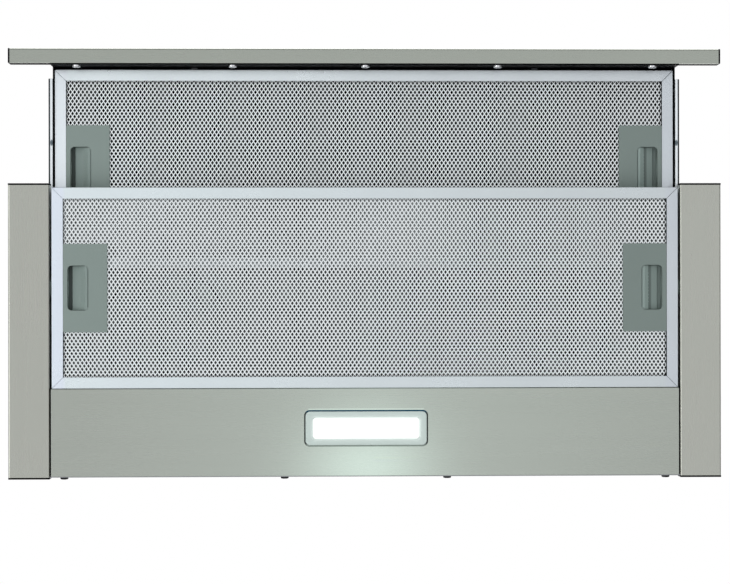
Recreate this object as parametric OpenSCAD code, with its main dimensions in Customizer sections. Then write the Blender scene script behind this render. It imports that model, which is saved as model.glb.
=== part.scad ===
// Pull out range hood, 60 cm class: a fixed housing under a wall cabinet and a drawer that slides out to the
// front. Each carries a grease filter. X runs along the front panel, the front is at -Y, Z is up.
// The origin is the middle of the footprint with the drawer in its rest place, on the plane of the trims'
// undersides.

/* [Overall] */
// Width over the side trims and the front panel
hood_w = 598; // [596:1:700]
// Depth of the fixed part, from the front of the trims to the rear wall
housing_d = 246; // [244:1:290]
// Height of the housing
housing_h = 176; // [172:1:220]
// How far the drawer stands out at rest
drawer_out = 100; // [70:1:140]
// Thickness of the housing, trim and lamp panel sheet
sheet_t = 0.8; // [0.6:0.1:1]
// Gap left between the closed front panel and the trims
close_gap = 0.6; // [0.4:0.1:2]

/* [Front panel] */
// Depth of the front panel, front to back
fascia_d = 12.4; // [12:0.1:20]
// Height of the front panel
fascia_h = 46; // [45.5:0.5:46.5]
// Height of the front panel's underside over the trims' undersides
fascia_lift = 1; // [0.6:0.1:1.5]
// Depth of the fold along the front panel's top
fascia_top_fold = 7; // [5:0.5:8]
// Height of the upright back edge of the front panel
fascia_back_h = 14; // [12:0.5:15]
// Thickness of the front panel's end caps
fascia_cap_t = 1.5; // [1:0.1:3]
// Distance of the outer front panel screws from the drawer pan's sides
fascia_screw_in = 20.8; // [14.8:1:40.8]
// Spacing of the inner pair of front panel screws
fascia_screw_inner = 223.2; // [150:0.4:260]

/* [Buttons] */
// Width of one button
button_w = 12; // [10:0.5:13]
// Height of one button
button_h = 8; // [6:0.5:9]
// Distance between button centres
button_pitch = 16; // [15:0.5:18]
// Distance of the middle button from the right end of the front panel
button_in = 119; // [99:1:149]

/* [Side trims] */
// Width of a side trim
trim_w = 34.5; // [32:0.5:44]
// Height of a side trim's outer wall
trim_h = 40; // [30:1:41]
// Height of a side trim's inner lip
trim_lip_h = 12; // [11:0.5:13]
// Thickness of the trims' end caps
trim_cap_t = 1.5; // [1:0.1:2]

/* [Lamp panel] */
// Depth of the rear lamp panel
lamp_panel_d = 73.8; // [70:0.2:76]
// Width of the lamp bezel's cut-out
lamp_w = 104; // [90:1:120]
// Depth of the lamp bezel's cut-out
lamp_d = 30.6; // [26:0.2:34]
// Width of the lens
lens_w = 89.8; // [60:0.2:89.8]
// Depth of the lens
lens_d = 18; // [14:0.2:20]
// Distance of the lamp's middle from the rear wall
lamp_to_rear = 40.5; // [38:0.5:42]

/* [Filters] */
// Depth of a grease filter
filter_d = 168.4; // [160:0.2:169]
// Thickness of a grease filter
filter_h = 9; // [9:0.5:10]
// Width of the filter frame's face
filter_face = 9.4; // [8:0.2:12]
// Sheet thickness of the filter frame
filter_sheet = 0.8; // [0.6:0.1:0.9]
// Height of the rear filter's underside
rear_filter_z = 1.5; // [1.2:0.1:2]
// Height of the front filter's underside
front_filter_z = 23.5; // [23:0.5:24.5]
// Sheets of mesh in a filter
mesh_n = 5; // [3:1:7]
// Thickness of one mesh sheet
mesh_t = 0.4; // [0.4:0.1:0.8]
// Width of a handle plate
handle_w = 36.8; // [35:0.2:42]
// Length of a handle plate
handle_l = 74; // [60:1:90]
// Width of the finger pocket
pocket_w = 17.2; // [16:0.2:18]
// Length of the finger pocket
pocket_l = 37.4; // [30:0.2:44]
// How far a latch draws back
latch_travel = 4.5; // [3.5:0.1:4.8]

/* [Drawer] */
// Sheet thickness of the drawer pan
pan_t = 1; // [0.8:0.1:1.2]
// Height of the drawer pan's top face
pan_top = 45; // [44:0.5:46]
// Height of the lower edge of the drawer pan's side walls
pan_low = 22; // [20:0.5:22.5]
// Depth of the runner's section, sideways
rail_w = 10; // [9.6:0.1:12]
// Length of each rail member
rail_l = 200; // [190:1:208]
// Distance of the moving rail behind the front panel
rail_setback = 11; // [8:0.5:20]
// Diameter of a rail ball
ball_d = 3.8; // [3.4:0.1:3.9]
// Balls in each row
ball_n = 4; // [3:1:5]
// Length of a ball cage
cage_l = 50; // [44:1:54]

/* [Blower] */
// Distance of each blower's axis from the housing's side
blower_in = 102.3; // [98.3:1:109.3]
// Distance of the blowers' axis from the rear wall
blower_to_rear = 122; // [112:1:128]
// Radius of an impeller
impeller_r = 60; // [50:1:61]
// Blades on an impeller
blade_n = 24; // [18:1:30]
// Radius of a motor's can
motor_r = 38; // [32:1:42]
// Height of a motor's can
motor_h = 38; // [30:1:40]
// Gap between the motors and the housing's top
motor_gap = 12.4; // [10.4:1:20.4]
// Height of the blower plate
blower_plate_z = 60; // [58:1:64]
// Wall of the blower's plastic scroll
scroll_wall = 2; // [1.6:0.2:2.4]

/* [Outlet] */
// Outer radius of the outlet collar
collar_r = 74.5; // [60:0.5:75]
// Wall of the outlet collar
collar_wall = 2.5; // [2:0.1:3.5]
// Height of the outlet collar over the housing
collar_h = 45; // [30:1:60]
// Bore of the mains cable gland
gland_bore = 8.5; // [6:0.5:10]

/* [Hidden] */
$fn = 48;

// clearances
slack = 0.2;          // between sheet parts that only pass each other
slide = 0.3;          // round a sliding plastic piece
hair = 0.1;           // between layers that lie on each other
run = 0.05;           // between a shaft and its hole
screw_slack = 0.15;   // between a screw and its hole
past = 1;             // how far a cutting shape runs past the face it cuts

// screws
screw_r = 1.9;
head_r = 3.4;
head_h = 2.2;

// places along Y, from the rest place of the drawer
rest_d = fascia_d + drawer_out + close_gap + housing_d + head_h;
rear_y = rest_d / 2 - head_h;
front_y = rear_y - housing_d;
fascia_y = front_y - close_gap - drawer_out;
fascia_front = fascia_y - fascia_d;

// places across X, each the positive side
trim_x = hood_w / 2 - trim_w;
filter_gap = 1.6;
filter_x = trim_x - filter_gap;
pan_gap = 0.4;
pan_x = filter_x + pan_gap;
rail_x = pan_x + pan_t;
shell_x = rail_x + rail_w;
shell_out = shell_x + sheet_t;

// housing
shell_low = 1;
shell_front = front_y + trim_cap_t + slide;
fascia_low = fascia_lift;
fascia_top = fascia_low + fascia_h;
shell_mouth = fascia_top + 1.5;
fix_r = 2.75;
top_fix_in = 14.3;
top_fix_x = 2 * (shell_x - top_fix_in);
top_fix_y = 190;
side_fix_y = 160;
side_fix_z = 110;
shell_mid_y = (shell_front + rear_y) / 2;

// trims
trim_tab_h = 12;
trim_screw_z = trim_h + trim_tab_h / 2;
trim_screw_n = 3;
trim_screw_in = 33;
trim_screw_pitch = (housing_d - 2 * trim_screw_in) / (trim_screw_n - 1);
trim_screw_l = 2;
trim_plug_l = 6;
trim_plug_wall = 1.5;

// lamp panel and lamp
panel_z = 0.6;
panel_y = rear_y - lamp_panel_d;
panel_x = trim_x - 1.1;
panel_lip_h = 12;
panel_rear_h = 26;
panel_screw_z = 8;
panel_screw_in = 10.2;
panel_screw_inner = 68.4;
panel_screw_outer = panel_x - panel_screw_in;
panel_screws = [-panel_screw_outer, -panel_screw_inner, panel_screw_inner, panel_screw_outer];
lamp_y = rear_y - lamp_to_rear;
lamp_corner = 4.6;
bezel_gap = 0.8;
bezel_z = 0.3;
bezel_flange = 3;
bezel_flange_t = 1.2;
lens_corner = 2.2;
lens_flange = 2;
lamp_box_h = 13.4;
lamp_box_wall = 1.6;
led_n = 10;
led_size = 3;
led_h = 0.9;
led_pitch = (lens_w - 2 * led_size) / led_n;
board_t = 1.6;

// filters
rear_filter_y = panel_y - pan_gap - filter_d;
filter_front_gap = 3;
front_filter_y = fascia_y + filter_front_gap;
handle_x = filter_x - filter_face - slack - handle_w;
handle_drop = 0.4;
pocket_edge = 3.7;
pocket_x = handle_x + handle_w - pocket_edge - pocket_w;
pocket_wall = 1.2;
pocket_corner = 3.5;
pocket_roof = 6.5;
handle_box_x = pocket_x - latch_travel - 0.7;
latch_ridge_w = 6;
latch_ridge_top = 2;
latch_low = 1.1;
latch_high = 6.2;
tongue_t = 1.3;
tongue_w = 12;
tongue_out = 4;
hook_in = 117.9;
hook_x = filter_x - hook_in;
hook_w = 5;
hook_t = 1.2;
hook_l = 2.8;
hook_z = 4.4;

// drawer
pan_front_low = 2.5;
pan_cover_d = 158;
pan_ledge_w = 9;
pan_ledge_z = front_filter_z + filter_h + slide;
pan_back_y = front_filter_y + filter_d + 0.5;
fascia_screw_z = 7.5;
fascia_screw_l = 6;
fascia_screw_outer = pan_x - fascia_screw_in;
fascia_screws_x = [-fascia_screw_outer, -fascia_screw_inner / 2, 0, fascia_screw_inner / 2,
                   fascia_screw_outer];

// rails
rail_sheet = 1;
rail_fixed_in = 3.3;
rail_mid_z = 28.5;
rail_in_h = 17;
rail_out_h = 27;
rail_in_flange = 3.6;
rail_out_flange = 8.6;
rail_curl_r = 1.9;
rail_fixed_y = front_y + rail_fixed_in;
rail_moving_y = fascia_y + rail_setback;
ball_x = rail_x + rail_sheet + 1.5;
ball_z = (rail_in_h / 2 + rail_out_h / 2 - rail_sheet) / 2;
cage_t = 0.6;
rail_curl_x = rail_x + rail_in_flange - rail_curl_r;
cage_web_x = rail_x + rail_in_flange + 1.8;
cage_arm = 1.2;
cage_end = 5;
cage_y = (rail_fixed_y + rail_moving_y + rail_l) / 2;
ball_pitch = (cage_l - 2 * cage_end) / (ball_n - 1);
rail_notch_y = rail_moving_y + 54;
rail_notch_x = rail_x + 0.3;
rail_notch_w = 1.4;
rail_notch_l = 6;
rail_notch_h = 0.5;

// buttons
button_n = 5;
button_x = hood_w / 2 - button_in;
button_z = 24;
button_corner = 1.5;
bezel_margin = 3;
button_bezel_w = button_pitch * (button_n - 1) + button_w + 2 * bezel_margin;
button_bezel_h = button_h + 2 * bezel_margin;
button_face_in = 1.2;
button_bezel_t = 2;
button_l = 5.5;
button_lip = 0.8;
button_lip_t = 1;
button_lip_y = fascia_front + button_face_in + button_bezel_t + slack;
switch_y = fascia_front + 8;
switch_t = 1.2;
switch_key_h = 0.8;
switch_key_w = 5;

// blower
box_top = housing_h - sheet_t;
blower_x = shell_x - blower_in;
blower_y = rear_y - blower_to_rear;
scroll_r = impeller_r + 6;
scroll_grow = 14;
scroll_start = 205;
scroll_sweep = 245;
scroll_step = 17.5;
air_box = scroll_r + scroll_grow;
duct_overlap = 20;
scroll_low = blower_plate_z + sheet_t;
scroll_top = box_top - motor_gap - motor_h;
scroll_split = (scroll_low + scroll_top) / 2;
inlet_r = impeller_r - 10;
shaft_r = 3;
impeller_gap = 3;
impeller_z = scroll_low + scroll_wall + impeller_gap;
impeller_h = scroll_top - scroll_wall - 2 * impeller_gap - 1 - impeller_z;
blade_w = 9;
blade_t = 1.2;
hub_r = 9;
motor_flange = 8;
motor_step = 8;
motor_boss_r = motor_r - 12;
blower_plate_fold = 14;
motor_flange_t = 2;
shaft_end_in = 4;
disc_t = 2;
hub_l = 16;
ring_h = 3;
ring_w = 3;
blade_turn = 24;
grille_t = 2.5;
grille_rings = [inlet_r + 5, inlet_r - 11, inlet_r - 27, inlet_r - 40];
grille_bar = 2.4;
grille_bar_in = inlet_r - 42;

// outlet
outlet_y = blower_y;
collar_in = collar_r - collar_wall;
collar_flange = 14;
collar_flange_t = 2;
flap_pin_r = 1.5;
flap_pin_z = housing_h + 12.5;
flap_r = collar_in - 0.6;
flap_t = 1.2;
knuckle_r = 2.6;
flap_low = flap_pin_z - knuckle_r;
ledge_w = 3;
ledge_t = 2;
knuckle_n = 4;
knuckle_gap = 0.5;
knuckle_row = 2 * (collar_in - 4);
knuckle_step = knuckle_row / (2 * knuckle_n);

// electrics, under the housing's top
box_in = 144.3;
box_x = shell_x - box_in;
box_w = 120;
box_y = blower_y + motor_r + motor_flange + 3;
box_d = 66;
box_wall = 2;
box_h = 36;
box_inside = box_top - box_wall;
parts_x = 52;
terminal_n = 3;
terminal_pitch = 9;
terminal_d = 16;
terminal_in = 38;
terminal_h = 14;
capacitor_in = 14;
capacitor_r = 10;
capacitor_l = 42;
capacitor_pitch = 22;
driver_in = 6;
driver_end = 8;
driver_d = 22;
driver_h = 18;
box_low = box_top - box_h;
gland_x = box_x + 95;
gland_y = box_y + 40;
gland_r = 8;
gland_nut_h = 5;
gland_h = 14;

// A block given by its lowest and highest corner
module block(low, high) {
    translate(low) cube(high - low);
}

// The child on one side: 1 is the right side, -1 its mirror image
module on_side(side) {
    if (side > 0) children();
    else mirror([1, 0, 0]) children();
}

module both_sides() {
    on_side(1) children();
    on_side(-1) children();
}

// A drawing in X and Z carried along Y
module along_y(low, high) {
    translate([0, high, 0]) rotate([90, 0, 0]) linear_extrude(high - low) children();
}

// A drawing in Y and Z carried along X
module along_x(low, high) {
    translate([low, 0, 0]) rotate([90, 0, 90]) linear_extrude(high - low) children();
}

// A rectangle in 2D given by its lowest and highest corner
module patch(low, high) {
    translate(low) square(high - low);
}

// A centred rectangle with round corners
module round_patch(w, d, r) {
    square([w - 2 * r, d], center = true);
    square([w, d - 2 * r], center = true);
    for (sx = [-1, 1], sy = [-1, 1])
        translate([sx * (w / 2 - r), sy * (d / 2 - r)]) circle(r);
}

// A round bar from the origin along -Y
module bar_y(r, l) {
    rotate([90, 0, 0]) cylinder(r = r, h = l);
}

// A round bar from the origin along +X
module bar_x(r, l) {
    rotate([0, 90, 0]) cylinder(r = r, h = l);
}

// ---- housing ----

module housing_shell() {
    color("gainsboro") difference() {
        block([-shell_out, shell_front, shell_low], [shell_out, rear_y, housing_h]);
        block([-shell_x, shell_front + sheet_t, shell_low - past],
              [shell_x, rear_y - sheet_t, housing_h - sheet_t]);
        // the mouth that the drawer slides through
        block([-shell_x, shell_front - past, shell_low - past],
              [shell_x, shell_front + 2 * past, shell_mouth]);
        translate([0, outlet_y, housing_h - 2 * past]) cylinder(r = collar_in, h = 4 * past);
        translate([gland_x, gland_y, housing_h - 2 * past])
            cylinder(r = gland_r + screw_slack, h = 4 * past);
        for (sx = [-1, 1], sy = [-1, 1])
            translate([sx * top_fix_x / 2, shell_mid_y + sy * top_fix_y / 2, housing_h - 2 * past])
                cylinder(r = fix_r, h = 4 * past);
        for (x = panel_screws)
            translate([x, rear_y + past, panel_screw_z]) bar_y(screw_r + screw_slack, 4 * past);
        both_sides() {
            for (sy = [-1, 1])
                translate([shell_x - past, shell_mid_y + sy * side_fix_y / 2, side_fix_z])
                    bar_x(fix_r, 4 * past);
            trim_screw_places() translate([-shell_out + shell_x - past, 0, 0])
                bar_x(screw_r + screw_slack, 4 * past);
        }
    }
}

// The screws that hold one trim: origin on the housing's outer face, +X outwards
module trim_screw_places() {
    for (i = [0 : trim_screw_n - 1])
        translate([shell_out, front_y + trim_screw_in + i * trim_screw_pitch, trim_screw_z]) children();
}

module side_trim(side) {
    color("silver") on_side(side) difference() {
        along_y(front_y + trim_cap_t, rear_y) {
            patch([trim_x, 0], [hood_w / 2, sheet_t]);
            patch([trim_x, 0], [trim_x + sheet_t, trim_lip_h]);
            patch([hood_w / 2 - sheet_t, 0], [hood_w / 2, trim_h]);
            patch([shell_out, trim_h - sheet_t], [hood_w / 2, trim_h]);
            patch([shell_out, trim_h - sheet_t], [shell_out + sheet_t, trim_h + trim_tab_h]);
        }
        // slot for the rear filter's latch
        tongue_slot(rear_filter_y, rear_filter_z, trim_x - past, trim_x + sheet_t + past);
        trim_screw_places() translate([-past, 0, 0]) bar_x(screw_r + screw_slack, 4 * past);
    }
}

// A cap closes a trim's end: a plate with a hollow plug that goes in behind the outer wall
module trim_cap(plate_low, plate_high, plug_low, plug_high) {
    along_y(plate_low, plate_high) {
        patch([trim_x, 0], [hood_w / 2, trim_lip_h]);
        patch([shell_out + pan_gap, 0], [hood_w / 2, trim_h]);
    }
    low = [shell_out + pan_gap, sheet_t + slack];
    high = [hood_w / 2 - sheet_t - slack, trim_h - sheet_t - slack];
    wall = [trim_plug_wall, trim_plug_wall];
    along_y(plug_low, plug_high) difference() {
        patch(low, high);
        patch(low + wall, high - wall);
    }
}

module trim_end_caps() {
    color("dimgray") both_sides() {
        front_in = front_y + trim_cap_t;
        trim_cap(front_y, front_in, front_in, front_in + trim_plug_l);
        trim_cap(rear_y, rear_y + trim_cap_t, rear_y - trim_plug_l, rear_y);
    }
}

module trim_screws() {
    color("lightgray") both_sides() trim_screw_places() {
        translate([sheet_t, 0, 0]) bar_x(head_r, head_h);
        translate([-trim_screw_l, 0, 0]) bar_x(screw_r, trim_screw_l + sheet_t);
    }
}

// ---- lamp panel and lamp ----

module rear_lamp_panel() {
    color("silver") difference() {
        along_x(-panel_x, panel_x) {
            patch([panel_y, panel_z], [rear_y - sheet_t, panel_z + sheet_t]);
            patch([panel_y, panel_z], [panel_y + sheet_t, panel_lip_h]);
            patch([rear_y - 2 * sheet_t, panel_z], [rear_y - sheet_t, panel_rear_h]);
        }
        translate([0, lamp_y, panel_z - past]) linear_extrude(3 * past)
            round_patch(lamp_w, lamp_d, lamp_corner);
        for (x = panel_screws)
            translate([x, rear_y, panel_screw_z]) bar_y(screw_r + screw_slack, 2 * sheet_t + past);
        hook_slots(rear_filter_z, panel_y - past, panel_y + sheet_t + past);
    }
}

module rear_panel_screws() {
    color("lightgray") for (x = panel_screws) translate([x, 0, panel_screw_z]) {
        translate([0, rear_y + head_h, 0]) bar_y(head_r, head_h);
        translate([0, rear_y, 0]) bar_y(screw_r, 2 * sheet_t + 2);
    }
}

module lamp_bezel() {
    low = panel_z + sheet_t;
    color("lightgray") translate([0, lamp_y, 0]) difference() {
        union() {
            translate([0, 0, bezel_z]) linear_extrude(low - bezel_z)
                round_patch(lamp_w - 2 * bezel_gap, lamp_d - 2 * bezel_gap, lamp_corner - bezel_gap);
            translate([0, 0, low]) linear_extrude(bezel_flange_t)
                round_patch(lamp_w + 2 * bezel_flange, lamp_d + 2 * bezel_flange, lamp_corner);
        }
        translate([0, 0, bezel_z - past]) linear_extrude(5 * past) round_patch(lens_w, lens_d, lens_corner);
    }
}

module lamp_lens() {
    low = bezel_z + slide;
    seat = panel_z + sheet_t + bezel_flange_t;
    color("white") translate([0, lamp_y, 0]) {
        translate([0, 0, low]) linear_extrude(seat - low)
            round_patch(lens_w - 2 * slack, lens_d - 2 * slack, lens_corner - slack);
        translate([0, 0, seat]) linear_extrude(1)
            round_patch(lens_w + 2 * lens_flange, lens_d + 2 * lens_flange, lens_corner);
    }
}

module lamp_housing() {
    low = panel_z + sheet_t + bezel_flange_t;
    color("whitesmoke") translate([0, lamp_y, low]) difference() {
        linear_extrude(lamp_box_h)
            round_patch(lamp_w + 2 * bezel_flange, lamp_d + 2 * bezel_flange, lamp_corner);
        translate([0, 0, -past]) linear_extrude(lamp_box_h - lamp_box_wall + past)
            round_patch(lens_w + 2 * lens_flange + 1, lens_d + 2 * lens_flange + 1, lens_corner);
        // the LED board lies on the step
        translate([0, 0, lamp_box_h - lamp_box_wall - board_t - hair]) linear_extrude(board_t + hair)
            round_patch(lamp_w, lamp_d, lens_corner);
    }
}

module lamp_led_board() {
    low = panel_z + sheet_t + bezel_flange_t + lamp_box_h - lamp_box_wall - board_t;
    color("white") translate([0, lamp_y, low]) {
        linear_extrude(board_t - hair) round_patch(lamp_w - 2 * slack, lamp_d - 2 * slack, lens_corner);
        for (i = [0 : led_n - 1])
            translate([(i - (led_n - 1) / 2) * led_pitch - led_size / 2, -led_size / 2, -led_h])
                cube([led_size, led_size, led_h]);
    }
}

// ---- grease filters, each drawn from its own front edge and underside ----

// The place of a filter's latch: origin in the middle of its depth
module tongue_slot(y, z, low, high) {
    block([low, y + filter_d / 2 - tongue_w / 2 - slide, z + latch_high - tongue_t - slide],
          [high, y + filter_d / 2 + tongue_w / 2 + slide, z + latch_high + slide]);
}

// The slots for a filter's two hooks
module hook_slots(z, low, high) {
    for (sx = [-1, 1])
        block([sx * hook_x - hook_w / 2 - slide, low, z + hook_z - slide],
              [sx * hook_x + hook_w / 2 + slide, high, z + hook_z + hook_t + slide]);
}

// hook_way is 1 where the hooks point to the rear and -1 where they point to the front
module filter_frame(y, z, hook_way) {
    color("lightsteelblue") difference() {
        union() {
            block([-filter_x, y, z], [filter_x, y + filter_d, z + filter_h]);
            for (sx = [-1, 1])
                translate([sx * hook_x - hook_w / 2, hook_way > 0 ? y + filter_d : y - hook_l, z + hook_z])
                    cube([hook_w, hook_l, hook_t]);
        }
        block([-filter_x + filter_sheet, y + filter_sheet, z + filter_sheet],
              [filter_x - filter_sheet, y + filter_d - filter_sheet, z + filter_h - filter_sheet]);
        block([-filter_x + filter_face, y + filter_face, z - past],
              [filter_x - filter_face, y + filter_d - filter_face, z + filter_h + past]);
        both_sides() tongue_slot(y, z, filter_x - filter_sheet - past, filter_x + past);
    }
}

// A pack of mesh sheets held by their edges in the frame's channel, cut out round the handles
module filter_mesh(y, z) {
    edge = filter_sheet + hair;
    step = (filter_h - 2 * edge - mesh_t) / (mesh_n - 1);
    mid = y + filter_d / 2;
    half = pocket_l / 2 + 2 * pocket_wall;
    color("darkgray") difference() {
        for (i = [0 : mesh_n - 1])
            block([-filter_x + edge, y + edge, z + edge + i * step],
                  [filter_x - edge, y + filter_d - edge, z + edge + i * step + mesh_t]);
        both_sides() {
            block([handle_box_x - 2 * pocket_wall, mid - half, z],
                  [handle_x + handle_w, mid + half, z + pocket_roof + pocket_wall + hair]);
            tongue_slot(y, z, pocket_x, filter_x);
        }
    }
}

// Handle plate with the finger pocket behind it. The pocket's box runs further in than its window, so
// that the latch's ridge can slide in behind the plate.
module filter_handle(side, y, z) {
    mid = y + filter_d / 2;
    box_out = pocket_x + pocket_w;
    half = pocket_l / 2;
    plate_top = z + filter_sheet;
    color("slategray") on_side(side) difference() {
        union() {
            block([handle_x, mid - handle_l / 2, z - handle_drop],
                  [handle_x + handle_w, mid + handle_l / 2, plate_top]);
            block([handle_box_x - pocket_wall, mid - half - pocket_wall, plate_top - handle_drop],
                  [box_out + pocket_wall, mid + half + pocket_wall, z + pocket_roof + pocket_wall]);
        }
        block([handle_box_x, mid - half, plate_top], [box_out, mid + half, z + pocket_roof]);
        translate([pocket_x + pocket_w / 2, mid, z - past]) linear_extrude(filter_sheet + 2 * past)
            round_patch(pocket_w, pocket_l, pocket_corner);
        tongue_slot(y, z, box_out - past, box_out + pocket_wall + past);
    }
}

// Latch: a ridge for the fingers, a wide plate that floors the pocket and a tongue that goes through
// the frame
module filter_latch(side, y, z) {
    half = pocket_l / 2 - slide;
    ridge_in = pocket_x + slide;
    ridge_out = ridge_in + latch_ridge_w;
    plate_low = latch_high - tongue_t;
    plate_out = pocket_x + pocket_w - slide;
    tip = filter_x + tongue_out;
    color("darkseagreen") on_side(side) translate([0, y + filter_d / 2, z]) {
        along_y(-half, half) polygon([[ridge_in, latch_high], [ridge_in, latch_low],
            [ridge_in + latch_ridge_top, latch_low], [ridge_out, plate_low - 1], [ridge_out, plate_low],
            [plate_out, plate_low], [plate_out, latch_high]]);
        along_y(-tongue_w / 2, tongue_w / 2) polygon([[ridge_in, latch_high], [ridge_in, plate_low],
            [tip, plate_low], [tip, latch_high - tongue_t / 2], [tip - 1, latch_high]]);
    }
}

// ---- drawer ----

module drawer_pan() {
    side_end = rail_moving_y + rail_l;
    ledge_top = pan_ledge_z + pan_t;
    color("darkslategray") difference() {
        union() {
            block([-rail_x, fascia_y, pan_front_low], [rail_x, fascia_y + pan_t, pan_top]);
            block([-rail_x, fascia_y, pan_top - pan_t], [rail_x, fascia_y + pan_cover_d, pan_top]);
            both_sides() {
                block([pan_x, fascia_y, pan_low], [rail_x, side_end, pan_top]);
                block([pan_x - pan_ledge_w, fascia_y, pan_ledge_z], [rail_x, pan_back_y, ledge_top]);
            }
            // the ledges over the filter's front and rear edge, and the strip behind it
            block([-rail_x, fascia_y, pan_ledge_z], [rail_x, front_filter_y + filter_face, ledge_top]);
            block([-rail_x, pan_back_y - filter_face, pan_ledge_z], [rail_x, pan_back_y + pan_t, ledge_top]);
            block([-rail_x, pan_back_y, front_filter_z], [rail_x, pan_back_y + pan_t, ledge_top]);
        }
        both_sides() tongue_slot(front_filter_y, front_filter_z, pan_x - past, rail_x + past);
        for (x = fascia_screws_x)
            translate([x, fascia_y + 2 * past, fascia_screw_z]) bar_y(screw_r + screw_slack, 4 * past);
        hook_slots(front_filter_z, fascia_y - past, fascia_y + pan_t + past);
    }
}

module rail_fixed(side) {
    low = rail_mid_z - rail_out_h / 2;
    high = rail_mid_z + rail_out_h / 2;
    color("lightsteelblue") on_side(side) along_y(rail_fixed_y, rail_fixed_y + rail_l) {
        patch([shell_x - rail_sheet, low], [shell_x, high]);
        patch([shell_x - rail_out_flange, low], [shell_x, low + rail_sheet]);
        patch([shell_x - rail_out_flange, high - rail_sheet], [shell_x, high]);
    }
}

// The rounded edge of a moving rail's flange: a quarter of a tube, bent up where way is 1
module rail_curl(z, way) {
    mid = z + way * rail_curl_r;
    intersection() {
        translate([rail_curl_x, rail_moving_y + rail_l, mid]) difference() {
            bar_y(rail_curl_r, rail_l);
            translate([0, past, 0]) bar_y(rail_curl_r - rail_sheet, rail_l + 2 * past);
        }
        block([rail_curl_x, rail_moving_y, min(mid, z)],
              [rail_curl_x + rail_curl_r, rail_moving_y + rail_l, max(mid, z)]);
    }
}

module rail_moving(side) {
    low = rail_mid_z - rail_in_h / 2;
    high = rail_mid_z + rail_in_h / 2;
    color("lightsteelblue") on_side(side) union() {
        rail_channel(low, high);
        rail_curl(low, 1);
        rail_curl(high, -1);
    }
}

module rail_channel(low, high) {
    difference() {
        along_y(rail_moving_y, rail_moving_y + rail_l) {
            patch([rail_x, low], [rail_x + rail_sheet, high]);
            patch([rail_x, low], [rail_curl_x, low + rail_sheet]);
            patch([rail_x, high - rail_sheet], [rail_curl_x, high]);
        }
        tongue_slot(front_filter_y, front_filter_z, rail_x - past, rail_x + rail_sheet + past);
        block([rail_notch_x, rail_notch_y, low - past],
              [rail_notch_x + rail_notch_w, rail_notch_y + rail_notch_l, low + rail_notch_h]);
    }
}

// A cage strip runs between the two members and holds a row of balls above and below
module ball_cage(side) {
    color("goldenrod") on_side(side) {
        difference() {
            along_y(cage_y - cage_l / 2, cage_y + cage_l / 2) {
                patch([cage_web_x, rail_mid_z - ball_z - cage_t / 2],
                      [cage_web_x + cage_t, rail_mid_z + ball_z + cage_t / 2]);
                for (sz = [-1, 1])
                    patch([ball_x - cage_arm, rail_mid_z + sz * ball_z - cage_t / 2],
                          [cage_web_x + cage_t, rail_mid_z + sz * ball_z + cage_t / 2]);
            }
            ball_places() cylinder(r = ball_d / 2 + slack, h = 2 * past, center = true);
        }
        ball_places() sphere(r = ball_d / 2);
    }
}

module ball_places() {
    for (i = [0 : ball_n - 1], sz = [-1, 1])
        translate([ball_x, cage_y + (i - (ball_n - 1) / 2) * ball_pitch, rail_mid_z + sz * ball_z])
            children();
}

// ---- front panel ----

module fascia_profile() {
    inner = hood_w / 2 - fascia_cap_t;
    color("silver") difference() {
        along_x(-inner, inner) {
            patch([fascia_front, fascia_low], [fascia_front + sheet_t, fascia_top]);
            patch([fascia_front, fascia_low], [fascia_y, fascia_low + sheet_t]);
            patch([fascia_front, fascia_top - sheet_t], [fascia_front + fascia_top_fold, fascia_top]);
        }
        button_window(slack, fascia_front - past, fascia_front + sheet_t + past);
    }
}

// The cut for the button bezel, larger all round by grow
module button_window(grow, low, high) {
    along_y(low, high) translate([button_x, button_z])
        square([button_bezel_w + 2 * grow, button_bezel_h + 2 * grow], center = true);
}

// Outline of the moulding and of the end caps: upright at the back, then leaning to the front
module fascia_section(inset) {
    polygon([[fascia_front + inset, fascia_low + inset], [fascia_y, fascia_low + inset],
             [fascia_y, fascia_low + fascia_back_h], [fascia_front + fascia_top_fold, fascia_top - inset],
             [fascia_front + inset, fascia_top - inset]]);
}

module fascia_backing() {
    inner = hood_w / 2 - fascia_cap_t;
    color("dimgray") difference() {
        along_x(-inner, inner) fascia_section(sheet_t);
        button_window(slack, fascia_front, fascia_y + past);
        button_window(2 * slack + 1, switch_y, fascia_y + past);
        for (x = fascia_screws_x)
            translate([x, fascia_y + past, fascia_screw_z])
                bar_y(screw_r + screw_slack, fascia_screw_l + past + slack);
    }
}

module fascia_end_caps() {
    color("dimgray") both_sides() along_x(hood_w / 2 - fascia_cap_t, hood_w / 2) fascia_section(0);
}

module fascia_screws() {
    color("lightgray") for (x = fascia_screws_x) translate([x, fascia_y + pan_t, fascia_screw_z]) {
        translate([0, head_h, 0]) bar_y(head_r, head_h);
        bar_y(screw_r, pan_t + fascia_screw_l);
    }
}

// Place of button i along the front panel
function button_at(i) = button_x + (i - (button_n - 1) / 2) * button_pitch;

module button_bezel() {
    low = fascia_front + button_face_in;
    color("dimgray") difference() {
        button_window(0, low, low + button_bezel_t);
        for (i = [0 : button_n - 1])
            along_y(low - past, low + button_bezel_t + past) translate([button_at(i), button_z])
                round_patch(button_w, button_h, button_corner);
    }
}

module push_button(i) {
    color("gray") translate([button_at(i), 0, button_z]) {
        along_y(fascia_front, fascia_front + button_l)
            round_patch(button_w - 2 * slack, button_h - 2 * slack, button_corner - slack);
        along_y(button_lip_y, button_lip_y + button_lip_t)
            square([button_w + 2 * button_lip, button_h + 2 * button_lip], center = true);
    }
}

module switch_board() {
    color("seagreen") {
        button_window(1, switch_y, switch_y + switch_t);
        for (i = [0 : button_n - 1])
            along_y(switch_y - switch_key_h, switch_y)
                translate([button_at(i), button_z]) square(switch_key_w, center = true);
    }
}

// ---- blower ----

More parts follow.
